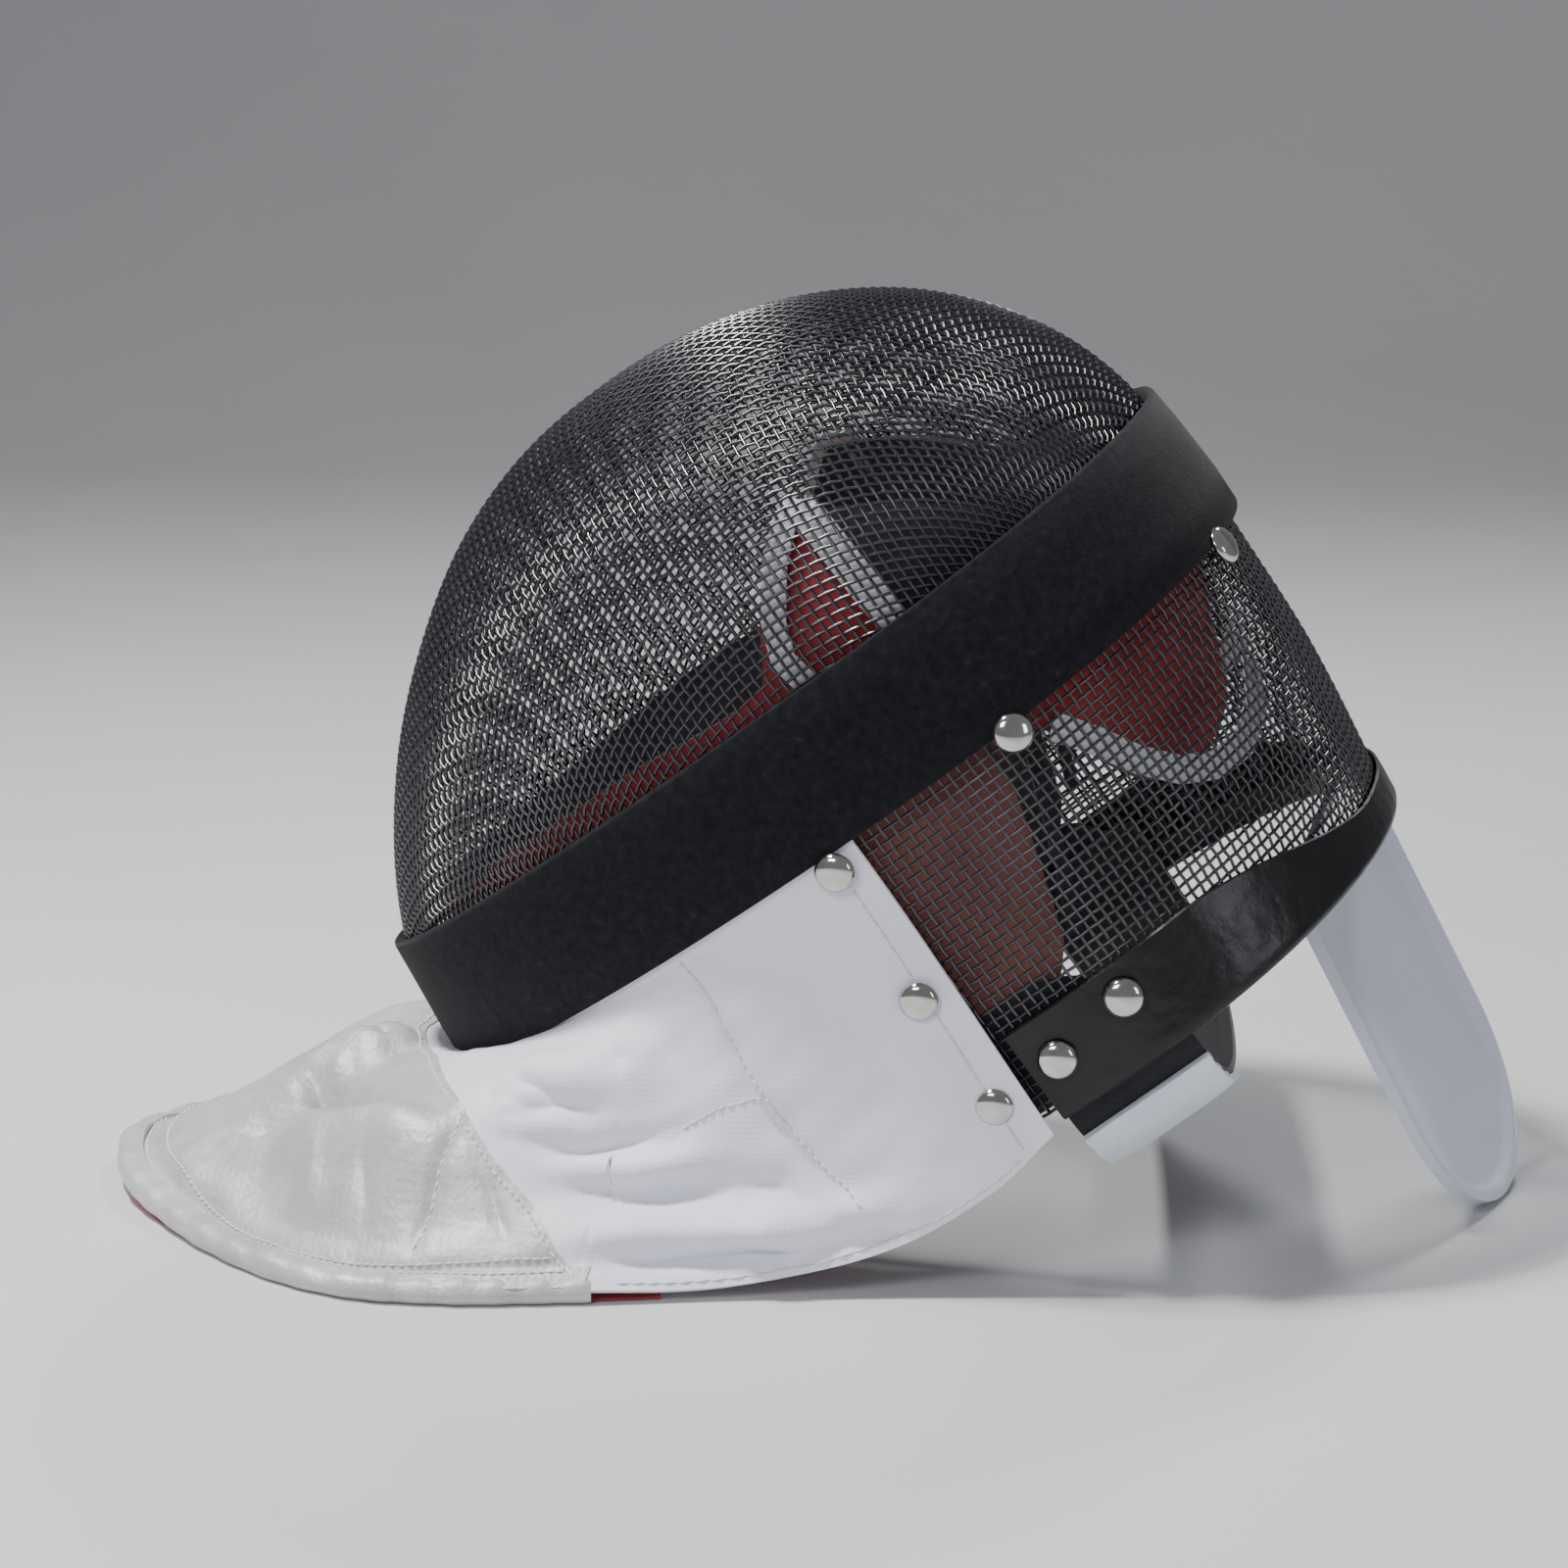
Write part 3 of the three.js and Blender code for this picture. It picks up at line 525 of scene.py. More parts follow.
BACK_ANGLES = loop_angles(-80, 102, PITCH)
BACK_NET = {(k, d): shell(angle, -30 - d * PITCH) for k, angle in enumerate(BACK_ANGLES) for d in range(36)}
BACK_NORMALS = [shell_out(angle, -80) for angle in BACK_ANGLES]
for family, name in ((0, "back_wires_round"), (1, "back_wires_deep")):
    tubes(name, wires_of(BACK_NET, lambda key: BACK_NORMALS[key[0]], lambda p: p.z > -137.5, family),
          WIRE_RADIUS * 0.001, 5, WIRE, "black_wire", ("back_mesh",) if family == 0 else ())


# -------- band and trim

def band():
    """The black band: a soft-edged strip round the whole shell."""
    profile = ((2.25, -0.9), (2.25, -41.6), (2.6, -42), (3.5, -41.8), (3.9, -41.0), (4.0, -30), (4.0, -12),
               (3.9, -1.2), (3.5, -0.3), (2.8, 0.0))

    def section(share):
        angle = share * 360
        lump = 0.25 * math.sin(angle * 0.21) * math.sin(angle * 0.083 + 1)
        return [world(shell(angle, z, -off - (lump if off > 3 else 0) * smooth(-z, 0, 20)
                            * smooth(z, -42, -20)))
                for off, z in profile]
    return outwards(finished("band_cloth", *swept_mesh(240, section, True), SUEDE, "black_band",
                             ("seam_band",)))


def trim_width(angle):
    """Narrow at the crown, wide at the sides."""
    return mix(10, 27, smooth(abs(angle), 22, 72))


def trim():
    """The binding folded over the rear rim, as far round as the bib."""
    def section(share):
        angle = (2 * share - 1) * (BIB_EDGE - 0.6)
        edge = -138.35
        w = trim_width(angle)
        return [world(shell(angle, z, inset)) for inset, z in (
            (-0.35, edge), (-0.35, edge + w), (-0.8, edge + w + 0.3), (-1.6, edge + w - 0.2),
            (-1.95, edge + w * 0.6), (-2.1, edge + 2), (-2.25, edge - 0.4), (-1.6, edge - 1.7),
            (-0.4, edge - 2.2), (2.4, edge - 2.2), (3.6, edge - 1.7), (4.25, edge - 0.4),
            (4.1, edge + 8), (2.35, edge + 8), (2.35, edge))]
    return outwards(finished("rim_binding", *swept_mesh(160, section), TRIM, "black_trim", ("rim_trim",)))


band()
trim()


# -------- the bib

# share of the way round, x, y and z of its lower edge on the floor
HEM = ((0.00, 82, -106.5, 46), (0.04, 65, -108, 29), (0.09, 35, -111, 12), (0.14, -8, -117, 3),
       (0.20, -47, -124, 3), (0.27, -86, -128, 3), (0.33, -119, -122, 3), (0.38, -150, -99, 3),
       (0.43, -179, -64, 4), (0.475, -197, -34, 6), (0.50, -204, -6, 7), (0.525, -201, 18, 6),
       (0.57, -181, 50, 4), (0.62, -150, 84, 3), (0.67, -119, 109, 3), (0.73, -86, 119, 3),
       (0.80, -47, 120, 3), (0.86, -8, 116, 3), (0.91, 35, 111, 12), (0.96, 65, 108, 29),
       (1.00, 82, 106.5, 46))
# how far down the silver cloth starts, by share of the way round
SEAM = ((0.20, 1.00), (0.215, 0.867), (0.24, 0.717), (0.28, 0.55), (0.32, 0.417), (0.40, 0.25),
        (0.50, 0.22), (0.60, 0.25), (0.68, 0.417), (0.72, 0.55), (0.76, 0.717), (0.785, 0.867),
        (0.80, 1.00))
# broad folds: share, down, spread, fall, height
FOLDS = ((0.235, 0.33, 0.036, 0.15, 4), (0.34, 0.62, 0.035, 0.20, 5), (0.42, 0.55, 0.030, 0.25, -3),
         (0.47, 0.50, 0.025, 0.22, 4), (0.56, 0.45, 0.035, 0.25, 6), (0.60, 0.65, 0.014, 0.16, -3.5),
         (0.65, 0.55, 0.016, 0.2, 4), (0.70, 0.50, 0.050, 0.25, 6), (0.76, 0.62, 0.016, 0.18, -3),
         (0.82, 0.60, 0.050, 0.25, 5))
# ridges and valleys: half width, height, then share and down along each
CREASES = ((10, 7.5, (0.29, 0.37), (0.26, 0.27), (0.20, 0.25)),
           (4.5, -4.5, (0.265, 0.467), (0.225, 0.517), (0.165, 0.517)),
           (2.2, 2.0, (0.29, 0.417), (0.255, 0.35)), (2.2, 1.8, (0.28, 0.45), (0.24, 0.433)),
           (2.6, -2.2, (0.275, 0.30), (0.22, 0.40)), (2.2, -1.8, (0.285, 0.38), (0.235, 0.38)),
           (7.5, -5.5, (0.255, 0.583), (0.19, 0.683), (0.13, 0.73)),
           (3.5, 2.2, (0.25, 0.53), (0.19, 0.60), (0.14, 0.60)),
           (5.5, 4.6, (0.225, 0.783), (0.16, 0.78), (0.115, 0.82), (0.075, 0.89)),
           (3.5, -3.4, (0.2, 0.895), (0.13, 0.90), (0.085, 0.955)),
           (2.6, -2.4, (0.135, 0.07), (0.12, 0.45), (0.095, 0.80)),
           (2.5, -2.2, (0.118, 0.72), (0.085, 0.96)), (3, 2.2, (0.128, 0.76), (0.105, 1.0)),
           (11, -2.2, (0.07, 0.15), (0.062, 0.85)),
           (10, 8.0, (0.455, 0.8), (0.435, 0.617), (0.355, 0.533), (0.28, 0.533)),
           (6, -7.5, (0.455, 0.72), (0.44, 0.52), (0.46, 0.42)),
           (9, 5.5, (0.465, 0.467), (0.472, 0.36), (0.478, 0.28)),
           (8, -4.0, (0.425, 0.80), (0.355, 0.80), (0.3, 0.77)),
           (2.4, -3.0, (0.305, 0.40), (0.305, 0.583), (0.3, 0.82)),
           (3.5, -4.0, (0.5, 0.55), (0.45, 0.467), (0.38, 0.383)), (3, 2.4, (0.40, 0.60), (0.37, 0.75)),
           (2.4, -2.2, (0.36, 0.56), (0.335, 0.74)), (2.2, -2.0, (0.28, 0.56), (0.25, 0.78)),
           (3.5, -3.4, (0.5, 0.90), (0.405, 0.875), (0.33, 0.875), (0.22, 0.89)))
TUCK = 0.05                      # share of the fall that lies under the band
GIRTH, FALL = 450.0, 110.0       # of the bib, for distances along it
TUCK_DEPTHS = (-37, -43.5)       # z of the bib's top edge and of the place where it leaves the band
RELIEF_SIZE = (500, 150)
NEAR_GAIN, FAR_GAIN = 1.45, 1.1  # of the creases on the side in the photograph and on the other
MIRRORED_TO = 0.44               # creases that reach past this share stay on the near side


def relief_grid():
    """Height of the folds, creases and small unevenness over the bib, on an even grid."""
    share, down = np.meshgrid(np.linspace(0, 1, RELIEF_SIZE[0] + 1), np.linspace(0, 1, RELIEF_SIZE[1] + 1),
                              indexing="ij")
    high = sum(h * np.exp(-((share - s) / w) ** 2 - ((down - d) / f) ** 2) for s, d, w, f, h in FOLDS)
    high = high * np.sin(np.pi * down)
    for mirrored, gain in ((False, NEAR_GAIN), (True, FAR_GAIN)):
        for wide, height, *path in CREASES:
            if mirrored:
                if max(s for s, d in path) > MIRRORED_TO:
                    continue
                path = [(1 - s, d) for s, d in path]
            nearest, length = np.full(share.shape, 1e9), 0.0
            for (sa, da), (sb, db) in zip(path, path[1:]):
                along, fall = (sb - sa) * GIRTH, (db - da) * FALL
                x, y = (share - sa) * GIRTH, (down - da) * FALL
                t = np.clip((x * along + y * fall) / (along ** 2 + fall ** 2), 0, 1)
                nearest = np.minimum(nearest, np.hypot(x - t * along, y - t * fall))
                length += math.hypot(along, fall)
            ends = np.ones(share.shape)
            for s, d in (path[0], path[-1]):
                away = np.hypot((share - s) * GIRTH, (down - d) * FALL)
                ends = ends * np.clip(away / (0.3 * length), 0, 1)
            high = high + gain * height * (0.25 + 0.75 * ends) * np.exp(-(nearest / wide) ** 2)
    small = (0.5 * np.sin(share * 61 + 1) * np.sin(down * 9 + 2 + share * 23)
             + 0.3 * np.sin(share * 133 - down * 17 + 3) * np.sin(share * 47 + down * 31 + 1)
             + 0.2 * np.sin(share * 47 + down * 31 + 1))
    fade = np.clip(down / 0.12, 0, 1) * np.clip((1 - down) / 0.08, 0, 1)
    held = np.clip(np.minimum(share, 1 - share) / 0.05, 0, 1)
    return (high + small * 1.1) * fade * fade * (3 - 2 * fade) * held * held


RELIEF = relief_grid()


def relief(share, down):
    """The relief between the four nearest places of its grid, mm."""
    x, y = clamp(share) * RELIEF_SIZE[0], clamp(down) * RELIEF_SIZE[1]
    i, j = min(int(x), RELIEF_SIZE[0] - 1), min(int(y), RELIEF_SIZE[1] - 1)
    x, y = x - i, y - j
    return mix(mix(RELIEF[i][j], RELIEF[i + 1][j], x), mix(RELIEF[i][j + 1], RELIEF[i + 1][j + 1], x), y)


def bib(share, down, outset=0.35, drop=0.0):
    """A point of the bib in the row frame, mm: share round from the near corner, down from the band."""
    angle = BIB_EDGE + share * (360 - 2 * BIB_EDGE)
    front = math.sin(math.pi * share) ** 2
    free = smooth(min(share, 1 - share), 0.03, 0.13)
    if down < TUCK:
        return LYING @ shell(angle, mix(*TUCK_DEPTHS, down / TUCK), -outset)
    t = (down - TUCK) / (1 - TUCK)
    top = LYING @ shell(angle, TUCK_DEPTHS[1], -outset)
    bottom = Vector([table(HEM, k, share) + SHIFT[k - 1] for k in (1, 2, 3)])
    rear = turned((0, 0, -1))
    out = turned(shell_out(angle))
    forwards = Vector((out.x, out.y, 0.55)).normalized()
    start = (rear * (1 - front) + forwards * free * (0.1 + front)).normalized()
    flat = Vector((bottom.x - top.x, bottom.y - top.y, 0)).normalized()
    end = (bottom - top).normalized().lerp(flat, free * (0.6 * front + 0.15)).normalized()
    pull = 0.9 * (bottom - top).length
    rise = t * t * (3 - 2 * t)
    p = (top * (1 - rise) + bottom * rise + start * (t * (1 - t) ** 2 * pull)
         - end * (t * t * (1 - t) * pull))
    return p + out.lerp(Vector((0, 0, 1)), front) * (float(relief(share, t)) - drop)


def bib_out(share, down):
    """The bib's outward normal. Share and down turn the same way everywhere, so its sign is fixed."""
    e = 0.004
    s, d = clamp(share, e, 1 - e), clamp(down, e, 1 - e)
    return (bib(s, d + e) - bib(s, d - e)).cross(bib(s + e, d) - bib(s - e, d)).normalized() * BIB_SIDE


# Found once, from a place on the near side whose outward normal points to the camera.
BIB_SIDE = 1.0
BIB_SIDE = 1.0 if bib_out(0.1, 0.5).y < 0 else -1.0


def bib_layer(name, start, end, nu, nv, top, bottom, level, thickness, material, slot, node_name,
              drop=0.0):
    """A closed layer of the bib, level mm over it, between shares round and two lines down."""
    cache = {}

    def face(offset):
        def at(i, j):
            share = mix(start, end, i)
            down = mix(top(share), bottom(share), j)
            if (i, j) not in cache:
                cache[(i, j)] = (bib(share, down, drop=drop), bib_out(share, down))
            p, n = cache[(i, j)]
            p = p + n * offset
            return Vector((p.x, p.y, max(p.z, 0.6))) * 0.001
        return at
    vertices, faces = sheet_mesh(nu, nv, face(level + thickness), face(level))
    return outwards(finished(name, vertices, faces, material, slot, (node_name,)))


HEM_START = 0.2                  # share where the silver front begins
CLEAR = 0.93                     # white cloth ends here under the silver


def seam_at(share):
    return table(SEAM, 1, share)


def in_front(share):
    return HEM_START < share < 1 - HEM_START


def cloth_bottom(share):
    return (min(seam_at(share), CLEAR) if in_front(share) else 1.0) - 0.006


cloth = bib_layer("bib_white", 0, 1, 320, 76, lambda s: 0, cloth_bottom, 0, 1.5, CLOTH, "white_cloth",
                  "bib_cloth")
lame = bib_layer("bib_silver", HEM_START - 0.001, 1.001 - HEM_START, 240, 60,
                 lambda s: min(seam_at(s), CLEAR - 0.01) - 0.012, lambda s: 0.985, 0.25, 1.7, LAME,
                 "silver_cloth", "bib_lame")
lining = bib_layer("bib_red", 0.05, 0.95, 200, 40, lambda s: 0.3, lambda s: 0.86, 0.0, 0.6, LINING,
                   "red_lining", "bib_lining", 4.0)


def hem():
    """The rolled silver edge, pinched a little along its length."""
    def section(share):
        place = mix(HEM_START - 0.004, 1.004 - HEM_START, share)
        centre = bib(place, 1)
        e = 0.004
        t = bib(place + e, 1) - bib(place - e, 1)
        t.z = 0
        t.normalize()
        out = Vector((t.y, -t.x, 0))
        if out.dot(Vector((centre.x + 50, centre.y, 0))) < 0:
            out = -out
        base = centre.z - 3
        pinch = 0.35 * math.sin(share * 190) + 0.25 * math.sin(share * 77)
        rows = ((-0.5, 0), (0.2, 0), (0.38, 0.1), (0.48, 0.3), (0.5, 0.5), (0.45, 0.75), (0.3, 0.95),
                (0.05, 1.08), (-0.25, 1.05), (-0.5, 1.1))
        return [Vector((*(centre + out * ((wide - 0.4) * 8 + (pinch * 0.5 if wide > 0 else 0))).xy,
                        base + high * 6.4 + (pinch if high > 0.5 else 0))) * 0.001 for wide, high in rows]
    return outwards(finished("bib_roll", *swept_mesh(300, section), LAME, "silver_cloth", ("bib_hem",)))


hem()


def lining_edge(name, start, end, inward):
    """The red lining's edge, which shows as a sliver under the lifted lower edge."""
    def section(share):
        place = mix(start, end, share)
        centre, e = bib(place, 1), 0.004
        t = (bib(place + e, 1) - bib(place - e, 1)).normalized()
        out = Vector((t.y, -t.x, 0)).normalized()
        if out.dot(Vector((centre.x + 50, centre.y, 0))) < 0:
            out = -out
        fade = smooth(share, 0, 0.15) * smooth(1 - share, 0, 0.15)
        top = max(centre.z - 3.1, 0.9)
        return [Vector((*(centre + out * (wide - inward)).xy, high)) * 0.001
                for wide, high in ((-5, 0.15), (-0.5 * fade, 0.15), (0.2 * fade, top * 0.6),
                                   (-0.6 * fade, top), (-5, top))]
    return outwards(finished(name, *swept_mesh(60, section), LINING, "red_lining"))


lining_edge("lining_tip", 0.36, 0.60, 1.2)
lining_edge("lining_near", 0.165, 0.197, 2.2)


# -------- padding

PAD_FRONT = ((0, 2), (45, 2), (56, 9), (70, 27), (82, 36), (84, 37), (90, 31), (96, 18), (99, 5), (118, 6),
             (150, 5), (180, 3))
PAD_REAR = ((0, 46), (15, 46), (24, 50), (31, 64), (36, 75), (42, 81), (50, 84), (57, 83), (63, 75),
            (67, 62), (71, 50), (79, 46), (81, 58), (86, 84), (92, 108), (98, 116), (104, 116),
            (112, 104), (125, 85), (150, 40), (180, 34))


def lift_point(angle, z, inset):
    """A point of the inset skin at an angle round and a height over or under the band plane."""
    if z <= 0:
        return shell(angle, z, inset)
    base = shell(angle, 0, 0)
    low, high = 0.0, 80.0
    for _ in range(22):
        m = (low + high) / 2
        t = math.radians(m)
        d = Vector(((base.x - WIDEST) * math.cos(t), base.y * math.cos(t), HALF * math.sin(t)))
        p = Vector((WIDEST, 0, 0)) + d * dome_scale(d, inset)
        if p.z < z:
            low = m
        else:
            high = m
    return p


PAD_ROWS = 18


def pad(name, start, end, steps, node_name, front_colour, rear_finish):
    """A quilted pad under the mesh: one colour in front and another behind the band, with a near-black
    colour on its side towards the head as painted shade.
    """
    def edges(angle):
        fold = 360 - angle if angle > 180 else abs(angle)
        return table(PAD_FRONT, 1, fold), -table(PAD_REAR, 1, fold)

    def face(side):
        def at(i, j):
            angle = mix(start, end, i)
            front, rear = edges(angle)
            z = mix(front, rear, j)
            round_off = (1 - (2 * clamp(j) - 1) ** 6) * (1 - (2 * clamp(i) - 1) ** 14)
            quilt = 1 - 0.14 * math.cos(z * 0.26) ** 8
            middle, half = 10.0, 4.9 * max(round_off, 0.12) ** 0.5 * quilt
            return world(lift_point(angle, z, middle + (half if side else -half)))
        return at
    vertices, faces = sheet_mesh(steps, PAD_ROWS, face(0), face(1))
    o = outwards(finished(name, vertices, faces, front_colour, "red_padding", (node_name,)))
    inner = (steps + 1) * (PAD_ROWS + 1)
    # Painted shade: the side towards the head and the edges are coloured near-black velour.
    o.data.materials.append(VELOUR_AND_SHADE)
    o.data.materials.append(rear_finish)
    upright = LYING.inverted()
    for f in o.data.polygons:
        if max(f.vertices) >= inner:
            f.material_index = 1
        elif (upright @ (f.center * 1000)).z < -24:
            f.material_index = 2
    return o


cheek = pad("cheek_padding", 80.6, 279.4, 130, "cheek_pad", RED, PINK)
# On the forehead the front is near-black as painted shade; the pad is red only from 24 mm behind the band's
# front edge.
forehead = pad("forehead_padding", -79.8, 79.8, 110, "forehead_pad", VELOUR_AND_SHADE, RED)


def cheek_binding(name, sign):
    """The padding's thin black border, close under the mesh between the rim and the bib."""
    def face(inset):
        def at(i, j):
            angle = mix(82, 114, i)
            front = mix(124, 104, smooth(angle, 82, 95))
            return world(shell(sign * angle, -mix(front, 136.5, j), inset))
        return at
    return outwards(finished(name, *sheet_mesh(24, 10, face(4.35), face(4.95)), VELOUR_AND_SHADE, "black_elastic"))


cheek_binding("cheek_binding_left", 1)
cheek_binding("cheek_binding_right", -1)


def ribbon(name, path, width, inset=4.2, finish=None):
    """A flat ribbon close under the mesh through points (x, z) of the near wall, on both sides."""
    parts_v, parts_f = [], []
    for sign in (-1, 1):
        dense = []
        for (xa, za), (xb, zb) in zip(path, path[1:]):
            for k in range(8):
                dense.append((mix(xa, xb, k / 8), mix(za, zb, k / 8)))
        dense.append(path[-1])
        points = [side_point(x, z, inset, sign) for x, z in dense]
        vs = []
        for k, p in enumerate(points):
            t = (points[min(k + 1, len(points) - 1)] - points[max(k - 1, 0)]).normalized()
            n = dome_normal(p)
            a = t.cross(n).normalized()
            for off, high in ((-0.5, 0), (0.5, 0), (0.5, 0.9), (-0.5, 0.9)):
                vs.append(world(p + a * (off * width) - n * high))
        base = len(parts_v)
        parts_v += vs
        for k in range(len(points) - 1):
            for m in range(4):
                a, n = base + 4 * k + m, base + 4 * k + (m + 1) % 4
                parts_f.append((a, n, n + 4, a + 4))
        parts_f.append((base, base + 1, base + 2, base + 3))
        end = base + 4 * (len(points) - 1)
        parts_f.append((end, end + 1, end + 2, end + 3))
    return outwards(finished(name, parts_v, parts_f, finish or RIBBON, "white_cloth"))


def side_point(x, z, inset, sign):
    """The point of the inset side wall at a given x and z, on the side of sign (-1 is near)."""
    low, high = 0.0, HALF + 4
    centre = Vector((WIDEST, 0, 0 if z >= 0 else z))
    for _ in range(26):
        y = (low + high) / 2
        p = Vector((x, y, z))
        q = dome_at(p, inset)
        if (p - centre).length < (q - centre).length:
            low = y
        else:
            high = y
    return Vector((x, sign * low, z))


ribbon("ribbon_temple_bright", [(195, 39), (196, 26), (197, 10), (198, -4)], 9)
ribbon("ribbon_temple_dim", [(195, 40), (189, 38), (180, 30), (171, 18), (167, 8), (169, -4)], 7)
ribbon("ribbon_cheek_rear", [(207, -52), (196, -80), (187, -100)], 4, finish=VELOUR_AND_SHADE)
ribbon("ribbon_nape", [(shell(a, -d).x, -d) for a, d in
                       ((71, 50), (67, 60), (63, 72), (58, 82), (52, 88), (45, 89), (38, 84), (33, 74))], 8)


# -------- strap and tongue

STRAP_POINTS = ((-95, -119), (-95, -132), (-94.5, -146), (-88, -157), (-69, -163), (0, -168), (69, -163),
                (88, -157), (94.5, -146), (95, -132), (95, -119))


STRAP_STEPS = 160


def strap_line(count=STRAP_STEPS):
    """Evenly spaced points of the strap's centre line as (y, z), and their tangents."""
    points = [Vector((0, y, z)) for y, z in STRAP_POINTS]
    dense = []
    for k in range(len(points) - 1):
        a, b, c, d = points[max(k - 1, 0)], points[k], points[k + 1], points[min(k + 2, len(points) - 1)]
        knots = [0.0]
        for p, q in ((a, b), (b, c), (c, d)):
            knots.append(knots[-1] + max((q - p).length ** 0.5, 1e-3))
        for m in range(24):
            t = mix(knots[1], knots[2], m / 24)
            a1 = a.lerp(b, (t - knots[0]) / (knots[1] - knots[0]))
            a2 = b.lerp(c, (t - knots[1]) / (knots[2] - knots[1]))
            a3 = c.lerp(d, (t - knots[2]) / (knots[3] - knots[2]))
            b1 = a1.lerp(a2, (t - knots[0]) / (knots[2] - knots[0]))
            b2 = a2.lerp(a3, (t - knots[1]) / (knots[3] - knots[1]))
            dense.append(b1.lerp(b2, (t - knots[1]) / (knots[2] - knots[1])))
    dense.append(points[-1])
    lengths = np.cumsum([0] + [(q - p).length for p, q in zip(dense, dense[1:])])
    out = []
    for k in range(count + 1):
        s = lengths[-1] * k / count
        n = int(min(np.searchsorted(lengths, s, side="right") - 1, len(dense) - 2))
        out.append(dense[n].lerp(dense[n + 1], (s - lengths[n]) / (lengths[n + 1] - lengths[n])))
    return out


STRAP = strap_line()


def strap_strip(name, start, end, steps, width, offset, thickness, crown, material, slot, node_name):
    """A strip across the strap's centre line, offset mm out from it, crowned by crown mm."""
    def face(outer):
        def at(i, j):
            s = mix(start, end, j) * STRAP_STEPS
            k = int(min(s, STRAP_STEPS - 1))
            p = STRAP[k].lerp(STRAP[k + 1], s - k)
            t = (STRAP[min(k + 2, STRAP_STEPS)] - STRAP[max(k - 1, 0)]).normalized()
            out = Vector((0, t.z, -t.y))
            bulge = crown * (1 - (2 * i - 1) ** 4) * (1 - (2 * j - 1) ** 6) if outer else 0
            p = p + out * (offset + (thickness if outer else 0) + bulge)
            wave = 0.5 * math.sin(j * 37) * (crown > 0)
            return world((175 + (i - 0.5) * (width + wave), p.y, p.z))
        return at
    return outwards(finished(name, *sheet_mesh(12, steps, face(1), face(0)), material, slot,
                             (node_name,)))


strap_strip("strap_elastic", 0, 1, 150, 42, -0.8, 1.6, 0, ELASTIC, "black_elastic", "strap")
strap_strip("strap_patch", 0.115, 0.235, 30, 42, 1.15, 2.2, 0.9, FLEECE, "white_cloth", "strap_pad")


def tongue():
    """The white spring tongue: a dished blade with a rounded tip and a raised border."""
    root, tip = Vector((245, 0, -144)), Vector((227, 0, -256.5))
    axis = tip - root
    length = axis.length
    axis.normalize()
    turn = Matrix.Rotation(math.radians(20), 3, axis)
    side = Vector((0, -1, 0))
    out = side.cross(axis).normalized()
    if out.x < 0:
        out = -out
    side, out = turn @ side, turn @ out
    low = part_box("tongue")[0][2] * 1000
    reach = 46                   # half width, and the length of the rounded tip

    def face(top):
        def at(i, j):
            run = length * j
            near_tip = max(0.0, (run - length + reach) / reach)
            half = reach * math.sqrt(max(0.0, 1 - near_tip ** 2.2))
            aside = half * (2 * i - 1)
            edge = math.sqrt((aside / reach) ** 2 + near_tip ** 2.2)
            lip = 1.7 * smooth(edge, 0.86, 0.93) - 0.8 * smooth(edge, 0.95, 1.0) if top else 0.0
            return (root + axis * run + side * aside
                    + out * (5.5 * edge * edge + lip + (2.6 if top else 0) - 0.5))
        return at
    nu, nv = 56, 90

    def eased(f):
        return lambda i, j: f(i, math.sin(j * math.pi / 2) ** 0.9 if j < 1 else 1.0)
    vertices, faces = sheet_mesh(nu, nv, eased(face(True)), eased(face(False)))
    placed = [LYING @ v for v in vertices]
    drop = min(v.z for v in placed) - low
    placed = [(v - Vector((0, 0, drop))) * 0.001 for v in placed]
    outwards(finished("tongue_blade", placed, faces, PLASTIC, "white_plastic", ("tongue",)))


tongue()
frame["nodes"]["tongue_bracket"].data.materials.clear()
frame["nodes"]["tongue_bracket"].data.materials.append(STEEL)


# -------- rivets

def angle_at(x, z):
    """The angle round the shell at which it passes x."""
    low, high = 0.0, 180.0
    for _ in range(32):
        m = (low + high) / 2
        if shell(m, z).x > x:
            low = m
        else:
            high = m
    return low


# name, x, depth, outset
RIVETS = (("band_side", 205.8, 43.5, 3.8), ("band_crown", 275, 43.5, 3.8), ("bib_top", 145.3, 46.5, 3.8),
          ("bib_middle", 142.7, 88.9, 4.35), ("bib_rear", 142.1, 125.1, 6.0),
          ("strap_front", 187.8, 120.5, 2.45), ("strap_rear", 163.1, 124.5, 2.45))


def rivets():
    """Every rivet head: a low polished dome with a thin turned rim."""
    profile = [(0.0, 0.0), (5.2, 0.0), (5.65, 0.15), (5.7, 0.5), (5.55, 0.8)]
    profile += [(5.35 * math.cos(t), 0.85 + 2.15 * math.sin(t)) for t in
                [math.radians(a) for a in range(8, 90, 9)]] + [(0.0, 3.0)]
    sides = 40
    vertices, faces, names = [], [], []
    for name, x, depth, outset in RIVETS:
        angle = angle_at(x, -depth)
        for label, sign in (("left", 1), ("right", -1)):
            n = shell_out(sign * angle, -depth)
            centre = shell(sign * angle, -depth) + n * (outset + 0.35)
            a = n.cross(Vector((0, 0, 1))).normalized()
            b = n.cross(a)
            base = len(vertices)
            for r, h in profile:
                for k in range(sides):
                    t = 2 * math.pi * k / sides
                    spoke = a * math.cos(t) + b * math.sin(t)
                    vertices.append(world(centre + n * h + spoke * max(r, 0.01)))
            for row in range(len(profile) - 1):
                for k in range(sides):
                    m = (k + 1) % sides
                    lower, upper = base + row * sides, base + (row + 1) * sides
                    faces.append((lower + k, lower + m, upper + m, upper + k))
            names.append(f"rivet_{name}_{label}")
    return outwards(finished("rivet_heads", vertices, faces, CHROME, "chrome", names))


rivets()


# -------- stitches

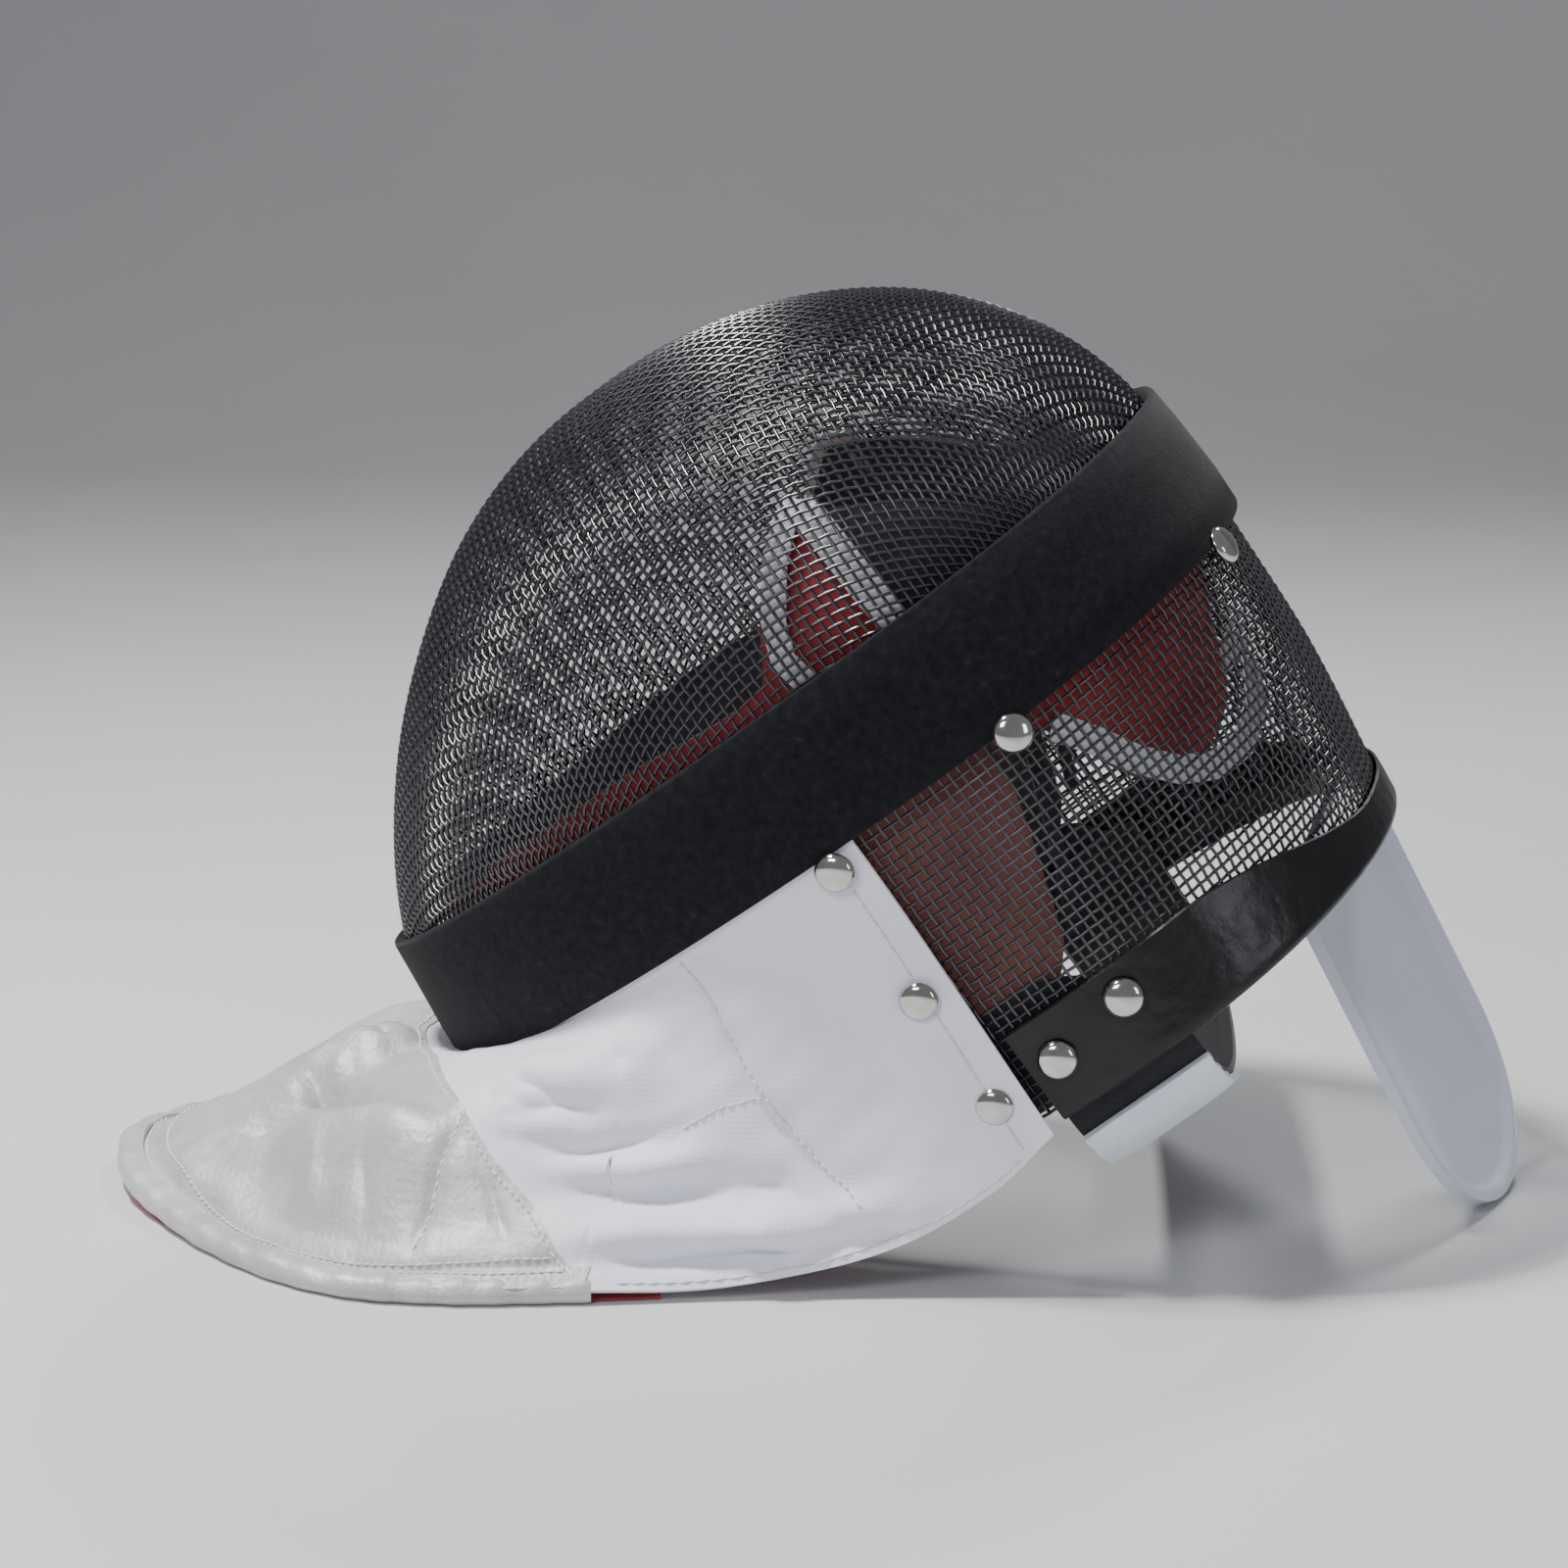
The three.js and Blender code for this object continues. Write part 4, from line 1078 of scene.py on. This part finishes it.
def stitches(name, runs, material, slot, lift, length=2.3, pitch=3.6, radius=0.34):
    """Short thread ends along runs of (share, down) on the bib."""
    lines = []
    for run in runs:
        points = []
        for (sa, da), (sb, db) in zip(run, run[1:]):
            for k in range(40):
                s, d = mix(sa, sb, k / 40), mix(da, db, k / 40)
                points.append((bib(s, d), bib_out(s, d)))
        walked, start = 0.0, None
        for (pa, na), (pb, nb) in zip(points, points[1:]):
            walked += (pb - pa).length
            if start is None:
                start = pa
                walked = 0.0
            elif walked >= length:
                mid = (start + pb) / 2
                lines.append([((start + na * lift * 0.8) * 0.001, na),
                              ((mid + na * (lift + 0.25)) * 0.001, na),
                              ((pb + na * lift * 0.8) * 0.001, na)])
                start = None
                walked = -(pitch - length)
    return tubes(name, lines, radius * 0.001, 5, material, slot)


# The dart's two rows (down and across), and a row inside each rear edge.
DART = [(0.137, 0.06), (0.128, 0.25), (0.118, 0.42), (0.105, 0.60), (0.096, 0.74), (0.088, 0.86)]
WHITE_RUNS = [DART, [(1 - s, d) for s, d in DART],
              [(0.109, 0.52), (0.135, 0.50), (0.162, 0.535)], [(0.891, 0.52), (0.838, 0.535)],
              [(0.016, 0.07), (0.016, 0.5), (0.016, 0.985)], [(0.984, 0.07), (0.984, 0.985)],
              [(0.02, 0.975), (0.10, 0.972), (0.19, 0.97)], [(0.98, 0.975), (0.90, 0.972), (0.81, 0.97)]]
stitches("stitches_white", WHITE_RUNS, THREAD, "white_cloth", 1.55)
SILVER_RUNS = [[(s / 100, 0.925) for s in range(21, 80, 2)], [(s / 100, 0.86) for s in range(22, 79, 2)],
               [(s / 100, seam_at(s / 100) + 0.012) for s in range(21, 80)],
               [(0.305, 0.46), (0.305, 0.6), (0.3, 0.84)], [(0.695, 0.46), (0.695, 0.6), (0.7, 0.84)]]
stitches("stitches_silver", SILVER_RUNS, THREAD_SILVER, "silver_cloth", 2.05)


# -------- floor, light and camera

def floor():
    """A pale floor that curves up far behind the mask into a plain backdrop."""
    near, far, bend, wide, high = -4.0, 1.8, 1.2, 6.0, 5.0
    profile = [(near, 0.0), (far, 0.0)]
    profile += [(far + bend * math.sin(t), bend * (1 - math.cos(t))) for t in
                [math.radians(a) for a in range(6, 91, 6)]]
    profile.append((far + bend, high))
    vertices = [(x, y, z) for y, z in profile for x in (-wide, wide)]
    faces = [(2 * k, 2 * k + 1, 2 * k + 3, 2 * k + 2) for k in range(len(profile) - 1)]
    mesh = bpy.data.meshes.new("floor")
    mesh.from_pydata(vertices, [], faces)
    mesh.polygons.foreach_set("use_smooth", [True] * len(faces))
    o = bpy.data.objects.new("floor", mesh)
    bpy.context.scene.collection.objects.link(o)
    o.data.materials.append(surface("floor", [(0.3, (0.60, 0.60, 0.61)), (0.7, (0.63, 0.63, 0.64))], 0.6,
                                    0.0, 3))


def area_light(name, place, target, size, power, colour=(1, 1, 1)):
    data = bpy.data.lights.new(name, "AREA")
    data.shape = "RECTANGLE"
    data.size, data.size_y = size
    data.energy = power
    data.color = colour
    o = bpy.data.objects.new(name, data)
    o.location = place
    o.rotation_euler = (Vector(target) - Vector(place)).to_track_quat("-Z", "Y").to_euler()
    bpy.context.scene.collection.objects.link(o)


floor()
area_light("key", (-0.55, -0.08, 1.3), (0, 0, 0.08), (0.18, 0.18), 29, (1, 0.99, 0.97))
area_light("front", (-0.5, -1.1, 0.9), (0, 0, 0.1), (0.5, 0.4), 6.5, (0.93, 0.94, 1))
area_light("back", (0.35, 0.9, 1.15), (0, 0, 0.12), (0.25, 0.2), 8, (0.96, 0.98, 1))
area_light("right", (1.1, -0.9, 0.5), (0, 0, 0.1), (0.3, 0.5), 2.5, (0.92, 0.95, 1))
sky = bpy.data.worlds.new("sky")
sky.use_nodes = True
sky.node_tree.nodes["Background"].inputs["Color"].default_value = (0.86, 0.88, 0.93, 1)
sky.node_tree.nodes["Background"].inputs["Strength"].default_value = 0.26
bpy.context.scene.world = sky

# The photograph's angle: 4 degrees round, 11.5 degrees over the horizon.
AZIMUTH, ELEVATION, DISTANCE = math.radians(4), math.radians(11.5), 1.12
aim = Vector((SHIFT[0], SHIFT[1], 121.7 + SHIFT[2])) * 0.001
way = Vector((math.sin(AZIMUTH) * math.cos(ELEVATION), -math.cos(AZIMUTH) * math.cos(ELEVATION),
              math.sin(ELEVATION)))
camera = bpy.data.objects.new("camera", bpy.data.cameras.new("camera"))
camera.location = aim + way * DISTANCE
camera.rotation_euler = (-way).to_track_quat("-Z", "Y").to_euler()
camera.data.sensor_width = 36
camera.data.lens = 85.7
bpy.context.scene.collection.objects.link(camera)
bpy.context.scene.camera = camera
